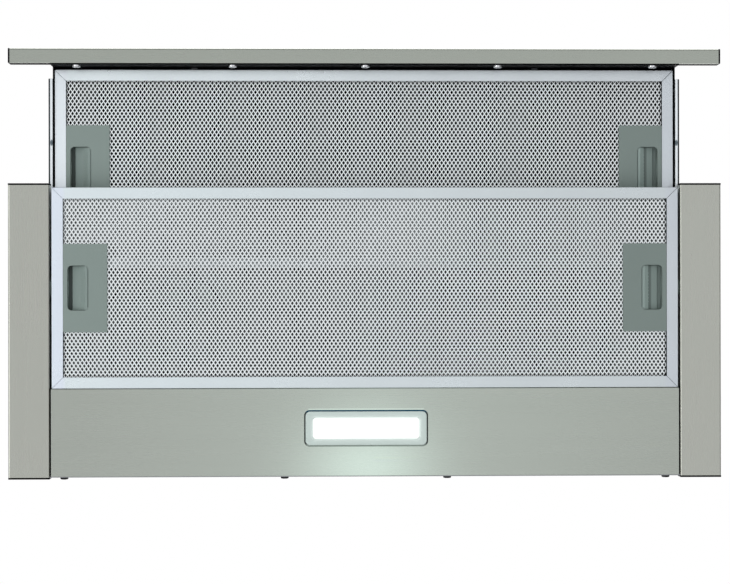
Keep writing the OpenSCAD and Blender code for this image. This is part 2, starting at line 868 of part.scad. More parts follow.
module blower_plate() {
    low_y = shell_front + sheet_t + slack;
    high_y = rear_y - sheet_t - slack;
    color("gainsboro") difference() {
        union() {
            block([-shell_x, low_y, blower_plate_z], [shell_x, high_y, blower_plate_z + sheet_t]);
            both_sides() block([shell_x - sheet_t, low_y, blower_plate_z],
                               [shell_x, high_y, blower_plate_z + blower_plate_fold]);
        }
        blower_holes(inlet_r, blower_plate_z - past, blower_plate_z + 2 * past);
    }
}

// Guards over the two inlets: rings on a cross
module inlet_grilles() {
    color("dimgray") for (sx = [-1, 1])
        translate([sx * blower_x, blower_y, blower_plate_z - grille_t]) linear_extrude(grille_t) {
            for (r = grille_rings) difference() {
                circle(r);
                circle(r - ring_w);
            }
            difference() {
                for (turn = [0 : 60 : 120]) rotate(turn)
                    square([2 * grille_rings[0] - ring_w, grille_bar], center = true);
                circle(grille_bar_in);
            }
        }
}

// Radius of the scroll at an angle from its start
function scroll_at(turn, inset) = scroll_r + scroll_grow * turn / scroll_sweep - inset;

// A point of the scroll's spiral, from the blower's axis
function spiral(turn, inset) = scroll_at(turn, inset) * [cos(scroll_start + turn), sin(scroll_start + turn)];

// The right scroll seen from above: a spiral that opens through a short duct into the air box
module scroll_outline(inset) {
    duct_end = air_box - blower_x - duct_overlap;
    translate([blower_x, blower_y]) polygon(concat(
        [for (turn = [0 : scroll_step : scroll_sweep]) spiral(turn, inset)],
        [[duct_end, scroll_at(scroll_sweep, inset)], [duct_end, scroll_r * sin(scroll_start) + inset]]));
}

// Both scrolls and the air box between them
module twin_scroll(low, high, inset) {
    translate([0, 0, low]) both_sides() linear_extrude(high - low) scroll_outline(inset);
    air_shaft(low, high, inset);
}

module air_shaft(low, high, inset) {
    translate([0, blower_y, low]) linear_extrude(high - low) square(2 * (air_box - inset), center = true);
}

module scroll_base() {
    color("dimgray") difference() {
        twin_scroll(scroll_low, scroll_split, 0);
        twin_scroll(scroll_low + scroll_wall, scroll_split + past, scroll_wall);
        blower_holes(inlet_r, scroll_low - past, scroll_low + scroll_wall + past);
    }
}

module scroll_cover() {
    color("dimgray") difference() {
        union() {
            twin_scroll(scroll_split, scroll_top, 0);
            air_shaft(scroll_split, box_top, 0);
        }
        twin_scroll(scroll_split - past, scroll_top - scroll_wall, scroll_wall);
        air_shaft(scroll_split - past, box_top + past, scroll_wall);
        blower_holes(hub_r + 3, scroll_top - scroll_wall - past, scroll_top + past);
    }
}

// A round cut on the axis of each blower
module blower_holes(r, low, high) {
    for (sx = [-1, 1])
        translate([sx * blower_x, blower_y, low]) cylinder(r = r, h = high - low);
}

module impeller(side) {
    high = impeller_z + impeller_h;
    hub_low = high - hub_l;
    color("gray") translate([side * blower_x, blower_y, 0]) {
        difference() {
            union() {
                translate([0, 0, high - disc_t]) cylinder(r = impeller_r, h = disc_t);
                translate([0, 0, hub_low]) cylinder(r = hub_r, h = hub_l);
                translate([0, 0, impeller_z]) linear_extrude(ring_h) difference() {
                    circle(impeller_r);
                    circle(impeller_r - ring_w);
                }
                translate([0, 0, impeller_z]) linear_extrude(impeller_h - disc_t / 2)
                    for (i = [0 : blade_n - 1]) rotate(i * 360 / blade_n) translate([impeller_r - blade_w, 0])
                        rotate(side * blade_turn) translate([0, -blade_t / 2]) square([blade_w, blade_t]);
            }
            translate([0, 0, hub_low - past]) cylinder(r = shaft_r + run, h = hub_l + 2 * past);
        }
        translate([0, 0, hub_low]) cylinder(r = shaft_r, h = scroll_top + motor_h - shaft_end_in - hub_low);
    }
}

module motor(side) {
    color("silver") translate([side * blower_x, blower_y, scroll_top]) difference() {
        union() {
            cylinder(r = motor_r + motor_flange, h = motor_flange_t);
            cylinder(r = motor_r, h = motor_h - motor_step);
            cylinder(r = motor_boss_r, h = motor_h);
        }
        translate([0, 0, -past]) cylinder(r = shaft_r + run, h = motor_h - shaft_end_in + 2 * past);
    }
}

// ---- outlet ----

module outlet_collar() {
    ledge_top = flap_low - slide;
    color("dimgray") translate([0, outlet_y, 0]) difference() {
        union() {
            collar_disc(collar_r + collar_flange, housing_h, housing_h + collar_flange_t);
            collar_disc(collar_r, housing_h, housing_h + collar_h);
        }
        collar_disc(collar_in - ledge_w, housing_h - past, housing_h + collar_h + past);
        collar_disc(collar_in, ledge_top, housing_h + collar_h + past);
        collar_disc(collar_in, housing_h - past, ledge_top - ledge_t);
        translate([0, collar_r + past, flap_pin_z]) bar_y(flap_pin_r + hair, 2 * collar_r + 2 * past);
    }
}

module collar_disc(r, low, high) {
    translate([0, 0, low]) cylinder(r = r, h = high - low, $fn = 96);
}

// Half disc that hangs on the pin, with knuckles between those of the other flap
module flap(side) {
    first = side > 0 ? 0 : 1;
    color("gray") on_side(side) translate([0, outlet_y, 0]) difference() {
        union() {
            translate([0, 0, flap_low]) linear_extrude(flap_t) intersection() {
                circle(flap_r, $fn = 96);
                patch([knuckle_r + 0.8, -collar_r], [collar_r, collar_r]);
            }
            for (i = [first : 2 : 2 * knuckle_n - 1]) {
                near = -knuckle_row / 2 + i * knuckle_step + knuckle_gap;
                along_y(near, near + knuckle_step - 2 * knuckle_gap) {
                    translate([0, flap_pin_z]) circle(knuckle_r);
                    patch([0, flap_low], [knuckle_r + 1, flap_low + flap_t]);
                }
            }
        }
        translate([0, collar_r, flap_pin_z]) bar_y(flap_pin_r + run, 2 * collar_r);
    }
}

module flap_pin() {
    color("silver") translate([0, outlet_y + collar_r, flap_pin_z]) bar_y(flap_pin_r, 2 * collar_r);
}

// ---- electrics ----

module control_box() {
    color("whitesmoke") difference() {
        block([box_x, box_y, box_low], [box_x + box_w, box_y + box_d, box_top]);
        block([box_x + box_wall, box_y + box_wall, box_low - past],
              [box_x + box_w - box_wall, box_y + box_d - box_wall, box_inside]);
        translate([gland_x, gland_y, box_inside - past]) cylinder(r = gland_r + screw_slack, h = 4 * past);
    }
}

module control_box_cover() {
    color("whitesmoke") block([box_x, box_y, box_low - box_wall], [box_x + box_w, box_y + box_d, box_low]);
}

module terminal_block() {
    low = box_inside - terminal_h;
    x = box_x + parts_x;
    y = box_y + terminal_in;
    color("ivory") difference() {
        block([x, y, low], [x + terminal_n * terminal_pitch + 1, y + terminal_d, box_inside]);
        for (i = [0 : terminal_n - 1])
            translate([x + (i + 0.5) * terminal_pitch + 0.5, y + terminal_d / 2, low - past])
                cylinder(r = 2, h = terminal_h / 2 + past);
    }
}

module capacitors() {
    color("whitesmoke") for (i = [0, 1])
        translate([box_x + 2 * box_wall, box_y + capacitor_in + i * capacitor_pitch,
                   box_inside - capacitor_r]) bar_x(capacitor_r, capacitor_l);
}

module led_driver() {
    y = box_y + driver_in;
    color("lightgray") block([box_x + parts_x, y, box_inside - driver_h],
                             [box_x + box_w - driver_end, y + driver_d, box_inside]);
}

// Threaded body through the sheet, hexagon above, locknut inside the control box
module cable_gland() {
    color("dimgray") translate([gland_x, gland_y, 0]) difference() {
        union() {
            translate([0, 0, box_inside - gland_nut_h - 1])
                cylinder(r = gland_r, h = gland_nut_h + 1 + housing_h - box_inside);
            translate([0, 0, box_inside - gland_nut_h]) cylinder(r = gland_r + 3, h = gland_nut_h, $fn = 6);
            translate([0, 0, housing_h]) cylinder(r = gland_r + 3, h = gland_nut_h, $fn = 6);
            translate([0, 0, housing_h]) cylinder(r = gland_r + 1, h = gland_h);
        }
        translate([0, 0, box_low]) cylinder(r = gland_bore / 2, h = box_h + gland_h + past + sheet_t);
    }
}

housing_shell();
side_trim(-1);  // side_trim_left
side_trim(1);  // side_trim_right
trim_end_caps();
trim_screws();
rear_lamp_panel();
rear_panel_screws();
lamp_bezel();
lamp_lens();
lamp_housing();
lamp_led_board();
filter_frame(rear_filter_y, rear_filter_z, 1);  // rear_filter_frame
filter_mesh(rear_filter_y, rear_filter_z);  // rear_filter_mesh
filter_handle(-1, rear_filter_y, rear_filter_z);  // rear_handle_left
filter_handle(1, rear_filter_y, rear_filter_z);  // rear_handle_right
filter_latch(-1, rear_filter_y, rear_filter_z);  // rear_latch_left
filter_latch(1, rear_filter_y, rear_filter_z);  // rear_latch_right
filter_frame(front_filter_y, front_filter_z, -1);  // front_filter_frame
filter_mesh(front_filter_y, front_filter_z);  // front_filter_mesh
filter_handle(-1, front_filter_y, front_filter_z);  // front_handle_left
filter_handle(1, front_filter_y, front_filter_z);  // front_handle_right
filter_latch(-1, front_filter_y, front_filter_z);  // front_latch_left
filter_latch(1, front_filter_y, front_filter_z);  // front_latch_right
drawer_pan();
rail_fixed(-1);  // rail_fixed_left
rail_fixed(1);  // rail_fixed_right
rail_moving(-1);  // rail_moving_left
rail_moving(1);  // rail_moving_right
ball_cage(-1);  // ball_cage_left
ball_cage(1);  // ball_cage_right
fascia_profile();
fascia_backing();
fascia_end_caps();
fascia_screws();
button_bezel();
push_button(0);  // button_off
push_button(1);  // button_slow
push_button(2);  // button_medium
push_button(3);  // button_fast
push_button(4);  // button_lamp
switch_board();
blower_plate();
inlet_grilles();
scroll_base();
scroll_cover();
impeller(-1);  // impeller_left
impeller(1);  // impeller_right
motor(-1);  // motor_left
motor(1);  // motor_right
outlet_collar();
flap(-1);  // flap_left
flap(1);  // flap_right
flap_pin();
control_box();
control_box_cover();
terminal_block();
capacitors();
led_driver();
cable_gland();
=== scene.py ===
# Pull out range hood, seen from straight below with its drawer part way out.
# Lengths are millimetres until a piece is placed; +X along the front panel, front at -Y, +Z up.
import math
import bmesh
import bpy
import numpy as np
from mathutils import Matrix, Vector


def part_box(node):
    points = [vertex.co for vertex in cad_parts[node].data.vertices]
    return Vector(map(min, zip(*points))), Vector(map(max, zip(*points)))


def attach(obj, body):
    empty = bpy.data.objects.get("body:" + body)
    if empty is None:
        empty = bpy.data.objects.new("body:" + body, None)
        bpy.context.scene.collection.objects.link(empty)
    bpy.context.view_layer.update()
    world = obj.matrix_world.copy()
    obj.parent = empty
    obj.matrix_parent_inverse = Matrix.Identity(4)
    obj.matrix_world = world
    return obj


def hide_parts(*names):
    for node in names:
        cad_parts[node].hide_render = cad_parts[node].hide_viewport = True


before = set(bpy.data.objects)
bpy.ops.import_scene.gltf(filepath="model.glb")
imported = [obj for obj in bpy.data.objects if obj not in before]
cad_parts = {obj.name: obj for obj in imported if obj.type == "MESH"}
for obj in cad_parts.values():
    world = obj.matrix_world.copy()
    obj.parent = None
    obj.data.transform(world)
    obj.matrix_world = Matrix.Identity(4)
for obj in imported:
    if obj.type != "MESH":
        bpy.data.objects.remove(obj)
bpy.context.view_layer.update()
mm = 0.001


def nodeBox(node):
    low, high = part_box(node)
    return np.array(low) / mm, np.array(high) / mm


# camera and surroundings

view = {
    "eye": (-41.4, 23.6, -1648.1),
    "turn": 1.41,          # degrees by which it looks to the right of straight up
    "roll": 0.09,
    "lens": 96.98,
    "sensor": 36,
    "clip": (0.05, 50),    # metres
    "backdrop": (1.0, 1.0, 1.0),
    "floorZ": -3000,
    "floorHalf": 4500,
    "floorColour": (0.90, 0.91, 0.945),
}


def placeCamera():
    eye = bpy.data.cameras.new("underView")
    eye.lens = view["lens"]
    eye.sensor_width = view["sensor"]
    eye.clip_start, eye.clip_end = view["clip"]
    stand = bpy.data.objects.new("underView", eye)
    stand.location = [value * mm for value in view["eye"]]
    stand.rotation_euler = (math.pi, math.radians(view["turn"]), math.radians(view["roll"]))
    bpy.context.scene.collection.objects.link(stand)
    bpy.context.scene.camera = stand


placeCamera()
print("camera placed")


# shader sums

class Wire:
    # a node's output that takes part in sums; the operators add Math nodes
    def __init__(self, paint, socket):
        self.paint = paint
        self.socket = socket

    def sum(self, operation, *others):
        return self.paint.node("ShaderNodeMath", {"operation": operation}, *others)

    def __add__(self, other):
        return self.sum("ADD", self, other)

    def __radd__(self, other):
        return self.sum("ADD", other, self)

    def __sub__(self, other):
        return self.sum("SUBTRACT", self, other)

    def __rsub__(self, other):
        return self.sum("SUBTRACT", other, self)

    def __mul__(self, other):
        return self.sum("MULTIPLY", self, other)

    def __rmul__(self, other):
        return self.sum("MULTIPLY", other, self)

    def __truediv__(self, other):
        return self.sum("DIVIDE", self, other)

    def __pow__(self, other):
        return self.sum("POWER", self, other)

    def __rpow__(self, other):
        return self.sum("POWER", other, self)

    def least(self, other):
        return self.sum("MINIMUM", self, other)

    def most(self, other):
        return self.sum("MAXIMUM", self, other)

    def unit(self):
        # kept between nothing and one
        return self.most(0.0).least(1.0)

    def size(self):
        return self.sum("ABSOLUTE", self)


class Paint:
    # one material with its Principled shader
    def __init__(self, name, **fixed):
        self.material = bpy.data.materials.new(name)
        self.material.use_nodes = True
        self.tree = self.material.node_tree
        self.shader = self.tree.nodes["Principled BSDF"]
        self.place = self.node("ShaderNodeTexCoord", {}, output="Object")
        for name, value in fixed.items():
            self.feed(name, value)

    def node(self, kind, settings, *values, output=0, **named):
        # any node: its settings come first, then the values or wires of its sockets
        made = self.tree.nodes.new(kind)
        stops = settings.pop("stops", None)
        for name, value in settings.items():
            setattr(made, name, value)
        if stops:
            for i, (at, colour) in enumerate(stops):
                stop = made.color_ramp.elements[i] if i < 2 else made.color_ramp.elements.new(at)
                stop.position = at
                stop.color = (*colour, 1)
        for socket, value in zip(made.inputs, values):
            self.join(socket, value)
        for name, value in named.items():
            self.join(made.inputs[name], value)
        return Wire(self, made.outputs[output])

    def join(self, socket, value):
        if isinstance(value, Wire):
            self.tree.links.new(value.socket, socket)
        else:
            socket.default_value = value

    def feed(self, name, value):
        # "baseColor" is the socket Base Color, and so on
        words = "".join(" " + c if c.isupper() else c for c in name).replace("I O R", "IOR")
        socket = self.shader.inputs[words[0].upper() + words[1:]]
        if socket.type == "RGBA" and not isinstance(value, Wire):
            value = (*value, 1)
        self.join(socket, value)

    def where(self):
        # the three coordinates apart, in metres
        parts = self.node("ShaderNodeSeparateXYZ", {}, self.place)
        outs = parts.socket.node.outputs
        return Wire(self, outs[0]), Wire(self, outs[1]), Wire(self, outs[2])

    def stretched(self, x, y, z, shift=(0, 0, 0)):
        # the object's own coordinates, each multiplied by a number of repeats a metre
        return self.node("ShaderNodeMapping", {}, Vector=self.place, Scale=(x, y, z), Location=shift)

    def noise(self, where, detail=3.0, roughness=0.55):
        return self.node("ShaderNodeTexNoise", {}, Vector=where, Scale=1.0,
                         Detail=detail, Roughness=roughness)

    def speckle(self, repeats, shift=(0, 0, 0), **settings):
        # noise with as many repeats a metre along each axis
        return self.noise(self.stretched(repeats, repeats, repeats, shift), **settings)

    def mix(self, share, first, second):
        # a blend of two colours
        made = self.tree.nodes.new("ShaderNodeMix")
        made.data_type = "RGBA"
        self.join(made.inputs[0], share)
        for socket, value in ((made.inputs[6], first), (made.inputs[7], second)):
            self.join(socket, value if isinstance(value, Wire) else (*value, 1))
        return Wire(self, made.outputs[2])

    def times(self, first, second):
        # two colours multiplied
        return self.node("ShaderNodeVectorMath", {"operation": "MULTIPLY"}, first, second)

    def across(self, left, right, width=520):
        # a blend from the hood's left side to its right side
        x, y, z = self.where()
        return self.mix((x / (width * mm) + 0.5).unit(), left, right)

    def relief(self, height, depth):
        # bumps of a depth in millimetres
        self.feed("normal", self.node("ShaderNodeBump", {}, Height=height, Distance=depth * mm, Strength=1.0,
                                      output="Normal"))

    def shine(self, lit, tint):
        # light that the surface gives off, of a strength and a tint
        self.feed("emissionColor", self.node("ShaderNodeCombineXYZ", {}, *(lit * share for share in tint)))
        self.feed("emissionStrength", 1.0)


def scaled(colour, share):
    return tuple(min(1, c * share) for c in colour)


brushing = {
    "fine": (14, 1500),        # repeats a metre along the lines and across them
    "broad": (1.2, 60),
    "marks": 9,
    "scratchStretch": 0.3,     # of the bands' repeats
    "scratchScale": 3.0,
    "scratchEdge": 60,
    "depth": 0.012,
}


def brushedSteel(name, colour, along, roughness=0.34, tint=0.05, glow=None):
    # fine lines and broader faint bands along one axis, a few scratches and finger marks
    paint = Paint(name, metallic=1.0)
    fine, broad = ([brushing[kind][axis != along] for axis in "xyz"] for kind in ("fine", "broad"))
    lines = paint.noise(paint.stretched(*fine), detail=2.0)
    bands = paint.noise(paint.stretched(*broad, shift=(3.1, 1.7, 0.4)), detail=2.0)
    marks = paint.speckle(brushing["marks"], detail=4.0, roughness=0.65)
    long = [repeats * brushing["scratchStretch"] for repeats in broad]
    scratches = paint.node("ShaderNodeTexVoronoi", {"feature": "DISTANCE_TO_EDGE"}, output="Distance",
                           Vector=paint.stretched(*long), Scale=brushing["scratchScale"])
    worn = (1 - (scratches * brushing["scratchEdge"]).least(1.0)) * marks * 0.35
    share = lines * 0.45 + bands * 0.55
    paint.feed("baseColor", paint.mix(share, scaled(colour, 1 - tint), scaled(colour, 1 + tint)))
    paint.feed("roughness", lines * 0.12 + marks * 0.10 + worn * 0.2 + (roughness - 0.12))
    paint.relief(lines + worn, brushing["depth"])
    if glow:
        glow(paint)
    return paint.material


# painted light: left and right shades of a filter's cross bars and of its side bars, paler at the left, where
# the light comes from
barShades = {
    "sideFrom": 251,           # from the hood's middle
    "blend": 3,
    "rear": {"cross": ((0.85, 0.935, 0.94), (0.66, 0.71, 0.715)),
             "side": ((0.86, 0.93, 1.0), (0.655, 0.70, 0.725))},
    "front": {"cross": ((0.92, 1.0, 1.0), (0.69, 0.735, 0.75)),
              "side": ((0.92, 0.98, 1.0), (0.66, 0.705, 0.73))},
}

# painted shade: a rail is painted dark along its curled outer edge and round a pressed dimple
railPaintedShade = {
    "edgeFrom": 266.1,         # from the hood's middle
    "edgeFade": 0.4,
    "edgeShade": (0.02, 0.026, 0.03),
    "dimple": (265.1, -103),
    "dimpleHalf": (1.2, 2.4),
    "dimpleFade": 1.6,
    "dimpleShade": (0.16, 0.20, 0.22),
}


def rolledAluminium(name, colour, roughness=0.42, bars=None, oil=None):
    # matt rolled strip: fine grain, a soft bloom and shallow dents
    paint = Paint(name, metallic=0.85, specularIORLevel=0.5)
    x, y, z = paint.where()
    if bars:
        # painted light: bars paler at the left, where the light comes from
        atSide = ((x.size() - barShades["sideFrom"] * mm) / (barShades["blend"] * mm)).unit()
        colour = paint.mix(atSide, paint.across(*bars["cross"]), paint.across(*bars["side"]))
    if oil:
        # painted shade round the rail's dimple and along its outer edge
        (dimpleX, dimpleY), (halfX, halfY) = oil["dimple"], oil["dimpleHalf"]
        away = ((y - dimpleY * mm) / (halfY * mm)) ** 2.0 + ((x.size() - dimpleX * mm) / (halfX * mm)) ** 2.0
        colour = paint.mix((oil["dimpleFade"] - away).unit(), colour, oil["dimpleShade"])
        atEdge = ((x.size() - oil["edgeFrom"] * mm) / (oil["edgeFade"] * mm)).unit()
        colour = paint.mix(atEdge, colour, oil["edgeShade"])
    grain = paint.speckle(700, detail=2.0)
    bloom = paint.speckle(16, detail=4.0)
    dents = paint.speckle(90, detail=2.0)
    paint.feed("baseColor", paint.mix((bloom * 0.6 + grain * 0.4) * 0.12, colour, (0.0, 0.0, 0.0)))
    paint.feed("roughness", bloom * 0.16 + grain * 0.08 + (roughness - 0.12))
    paint.relief(grain * 0.3 + dents, 0.05)
    return paint.material


def expandedMetal(name, colour, rightPaintedShade=0.03):
    # cut strands: bright, duller in grains and patches, and a painted shade a little darker towards the
    # right, away from the light
    paint = Paint(name, metallic=0.7)
    grain = paint.speckle(420)
    patch = paint.speckle(22)
    dark = paint.across(scaled(colour, 0.86), scaled(colour, 0.86 * (1 - rightPaintedShade)))
    pale = paint.across(colour, scaled(colour, 1 - rightPaintedShade))
    paint.feed("baseColor", paint.mix(grain * 0.7 + patch * 0.4, dark, pale))
    paint.feed("roughness", grain * 0.25 + 0.26)
    paint.relief(grain, 0.06)
    return paint.material


# painted light and shade: the rear filter's inner net is painted near black, and paler where the drawer's
# filter lies above it and throws light back, less so at the right
innerShades = {
    "plain": (0.018, 0.019, 0.020),
    "pale": (0.31, 0.32, 0.32),
    "paleTo": 4.0,             # just behind the drawer's filter, and the fade in front of it
    "paleFade": 1.2,
    "lossFrom": 45,
    "lossWidth": 45,
    "loss": 0.8,
}


def innerNetMetal(name):
    paint = Paint(name, metallic=0.7)
    x, y, z = paint.where()
    # painted light under the drawer's filter, less towards the right
    underDrawer = ((innerShades["paleTo"] * mm - y) / (innerShades["paleFade"] * mm)).unit()
    atRight = ((x - innerShades["lossFrom"] * mm) / (innerShades["lossWidth"] * mm)).unit()
    share = underDrawer * (1 - atRight * innerShades["loss"])
    paint.feed("baseColor", paint.mix(share, innerShades["plain"], innerShades["pale"]))
    paint.feed("roughness", paint.speckle(420) * 0.25 + 0.3)
    return paint.material


# painted shade in the finger pockets: depth behind the filter's face and share of the gained grey.
# Light comes from the left, so on the right a painted shadow of the ridge falls on the slope beside it.
latchShades = {
    "depth": 7.0,
    "gain": 1.5,
    "left": [(0, 0.68), (4.95, 0.64), (5.5, 0.15), (7, 0.15)],
    "right": [(0, 0.83), (3.9, 0.83), (4.2, 0.33), (4.84, 0.35),
              (4.89, 0.55), (5.0, 0.54), (5.6, 0.42), (7, 0.42)],
}
plateLip = 0.4                 # a handle's plate stands this far below its filter's face


def filterFace(handle):
    return nodeBox(handle)[0][2] + plateLip


# painted shade in a finger pocket, by depth, with a ramp for each side
def pocketShade(paint, shade, face):
    x, y, z = paint.where()
    depth = (z - face * mm) / (latchShades["depth"] * mm)
    ramps = []
    for side in ("left", "right"):
        stops = [(at / latchShades["depth"], (share, share, share)) for at, share in latchShades[side]]
        ramps.append(paint.node("ShaderNodeValToRGB", {"stops": stops}, depth))
    return paint.times(paint.times(shade, paint.across(*ramps)), [latchShades["gain"]] * 3)


def mouldedPlastic(name, colour, roughness=0.5, grainSize=0.45, grainDepth=0.02, spread=0.06, shine=0.45,
                   right=None, handle=None, extra=None):
    # spark eroded mould grain with slight cloudiness; right is the share of the colour at the hood's right
    # side, a painted shade away from the light at the left; handle the node whose pocket's painted shade
    # darkens the piece
    paint = Paint(name, specularIORLevel=shine)
    grain = paint.speckle(1000 / grainSize, detail=2.0)
    cloud = paint.speckle(14, detail=4.0)
    dark, light = scaled(colour, 1 - spread), scaled(colour, 1 + spread)
    if right:
        dark, light = (paint.across(tone, scaled(tone, right)) for tone in (dark, light))
    shade = paint.mix(cloud * 0.75 + grain * 0.25, dark, light)
    if handle:
        shade = pocketShade(paint, shade, filterFace(handle))
    paint.feed("baseColor", shade)
    paint.feed("roughness", cloud * 0.14 + grain * 0.10 + (roughness - 0.12))
    paint.relief(grain, grainDepth)
    if extra:
        extra(paint)
    return paint.material


def coatedSteel(name, colour, roughness=0.6, shine=0.15, dusting=0.012, bare=0.5):
    # stoved coat: orange peel, a little dust, wear that shows metal on few spots
    paint = Paint(name, specularIORLevel=shine)
    peel = paint.speckle(260, detail=2.0)
    dust = paint.speckle(45, detail=6.0, roughness=0.7)
    worn = paint.speckle(150, shift=(2, 5, 1), detail=5.0, roughness=0.75)
    rub = ((worn - 0.68) * 9).unit()
    dusty = tuple(c + dusting for c in colour)
    paint.feed("baseColor", paint.mix(rub * bare, paint.mix(dust, colour, dusty), (0.22, 0.22, 0.22)))
    paint.feed("metallic", rub * bare)
    paint.feed("roughness", peel * 0.08 + dust * 0.2 + (roughness - 0.14))
    paint.relief(peel, 0.03)
    return paint.material


def galvanisedSteel(name, colour):
    # zinc spangle: flat crystals of a centimetre, each a shade of its own, under fine grain
    paint = Paint(name, metallic=1.0)
    wobble = paint.speckle(60, detail=2.0)
    bent = paint.node("ShaderNodeCombineXYZ", {}, wobble * 0.006, wobble * -0.006, wobble * 0.004)
    at = paint.node("ShaderNodeVectorMath", {"operation": "ADD"}, paint.stretched(1, 1, 1), bent)
    crystal = paint.node("ShaderNodeTexVoronoi", {}, Vector=at, Scale=95.0, output="Color")
    shade = paint.node("ShaderNodeSeparateColor", {}, crystal)
    grain = paint.speckle(900, detail=2.0)
    stain = paint.speckle(7, detail=5.0, roughness=0.6)
    paint.feed("baseColor", paint.mix(shade * 0.6 + stain * 0.4, scaled(colour, 0.80), scaled(colour, 1.18)))
    paint.feed("roughness", shade * 0.16 + grain * 0.08 + 0.38)
    paint.relief(grain * 0.4 + shade * 0.3, 0.02)
    return paint.material


# the lens's outline and the painted light that the lamp throws on what is round it; y is from the lamp's
# middle
lampY = sum(nodeBox("lamp_bezel"))[1] / 2
lamp = {
    "halfX": 44.9, "halfY": 9.0, "corner": 3.0,
    "rimFade": 1.5,            # over which the lens darkens towards its edge
    "rimPower": 0.7,
    "tint": (0.98, 1, 0.985),
    "bezel": 0.24,             # on the bezel at the lens's edge, halved every so many millimetres
    "halving": 0.8,
}
# painted light and a painted highlight on the lamp panel round the lens
panelGlow = {
    "halfX": 45,               # at which both ovals are halved along the panel
    "behind": {"y": 33, "half": 26, "power": 0.30},
    "before": {"y": -12, "half": 22, "power": 0.082},
    "band": {"x": 15, "reach": 250, "power": 0.07},
    "edge": {"y": -15.9, "half": 1.1, "x": 49, "power": 0.22},
    "tint": (0.76, 1, 0.89),
}
# painted reflection and light on the ring round the bezel: bluish at the front, paler at the rear
sealShades = {
    "front": (0.003, 0.065, 0.12),
    "side": (0.055, 0.062, 0.058),
    "rear": (0.30, 0.35, 0.31),
    "sideTo": 12.4,            # from the lamp's middle, and the fade beyond it
    "fade": 2,
}


def beyondEdge(x, y):
    # how far a point lies outside the lens's edge in millimetres, less than nothing inside; the distance
    # is taken from a smaller rectangle, which rounds the corners
    beyondX = (x.size() - (lamp["halfX"] - lamp["corner"]) * mm).most(0.0)
    beyondY = ((y - lampY * mm).size() - (lamp["halfY"] - lamp["corner"]) * mm).most(0.0)
    return (beyondX ** 2.0 + beyondY ** 2.0) ** 0.5 / mm - lamp["corner"]


def litLens():
    # frosted lens: faintly uneven, falling off close to the rim
    paint = Paint("lensFrost", baseColor=(0.44, 0.50, 0.47), roughness=0.35)
    x, y, z = paint.where()
    rim = (beyondEdge(x, y) / -lamp["rimFade"]).unit()
    frost = paint.speckle(1600, detail=2.0)
    spots = paint.noise(paint.stretched(110, 30, 30), detail=1.0)
    paint.shine(rim ** lamp["rimPower"] * (0.8 + spots * 0.3) + 0.25, lamp["tint"])
    paint.feed("roughness", frost * 0.2 + 0.3)
    paint.relief(frost, 0.02)
    return paint.material


# painted light: the bezel glows at the lens's edge, as if lit by the lamp
def litBezel(paint):
    x, y, z = paint.where()
    paint.shine(0.5 ** (beyondEdge(x, y).most(0.0) / lamp["halving"]) * lamp["bezel"], (1, 1, 1))


def litSeal(paint):
    # the black ring in the gap round the bezel, standing in for the gap's shade: a painted bluish reflection
    # at the front, plain at the sides, painted paler at the rear as if washed out by the lamp
    x, y, z = paint.where()
    fade, fromLamp = sealShades["fade"] * mm, y - lampY * mm
    behindFront = (fromLamp + (sealShades["sideTo"] * mm + fade)) / fade
    behindSide = (fromLamp - sealShades["sideTo"] * mm) / fade
    shade = paint.mix(behindFront.unit(), sealShades["front"], sealShades["side"])
    paint.feed("baseColor", paint.mix(behindSide.unit(), shade, sealShades["rear"]))


def litPanel(paint):
    # painted light on the panel round the lamp: two ovals, each halved at its half width and again by the
    # square of the distance; a band that fades evenly along the panel; a painted highlight on the cut-out's
    # front edge, as a thin line where it would catch the lamp
    x, y, z = paint.where()
    band, edge = panelGlow["band"], panelGlow["edge"]
    lit = (1 - (x - band["x"] * mm).size() / (band["reach"] * mm)).most(0.0) * band["power"]
    for oval in (panelGlow["behind"], panelGlow["before"]):
        away = ((y - (lampY + oval["y"]) * mm) / (oval["half"] * mm)) ** 2.0
        lit = lit + 0.5 ** ((x / (panelGlow["halfX"] * mm)) ** 2.0 + away) * oval["power"]
    line = (1 - ((y - (lampY + edge["y"]) * mm) / (edge["half"] * mm)).size()).most(0.0)
    lit = lit + line * ((edge["x"] * mm - x.size()) / mm).unit() * edge["power"]
    paint.shine(lit, panelGlow["tint"])


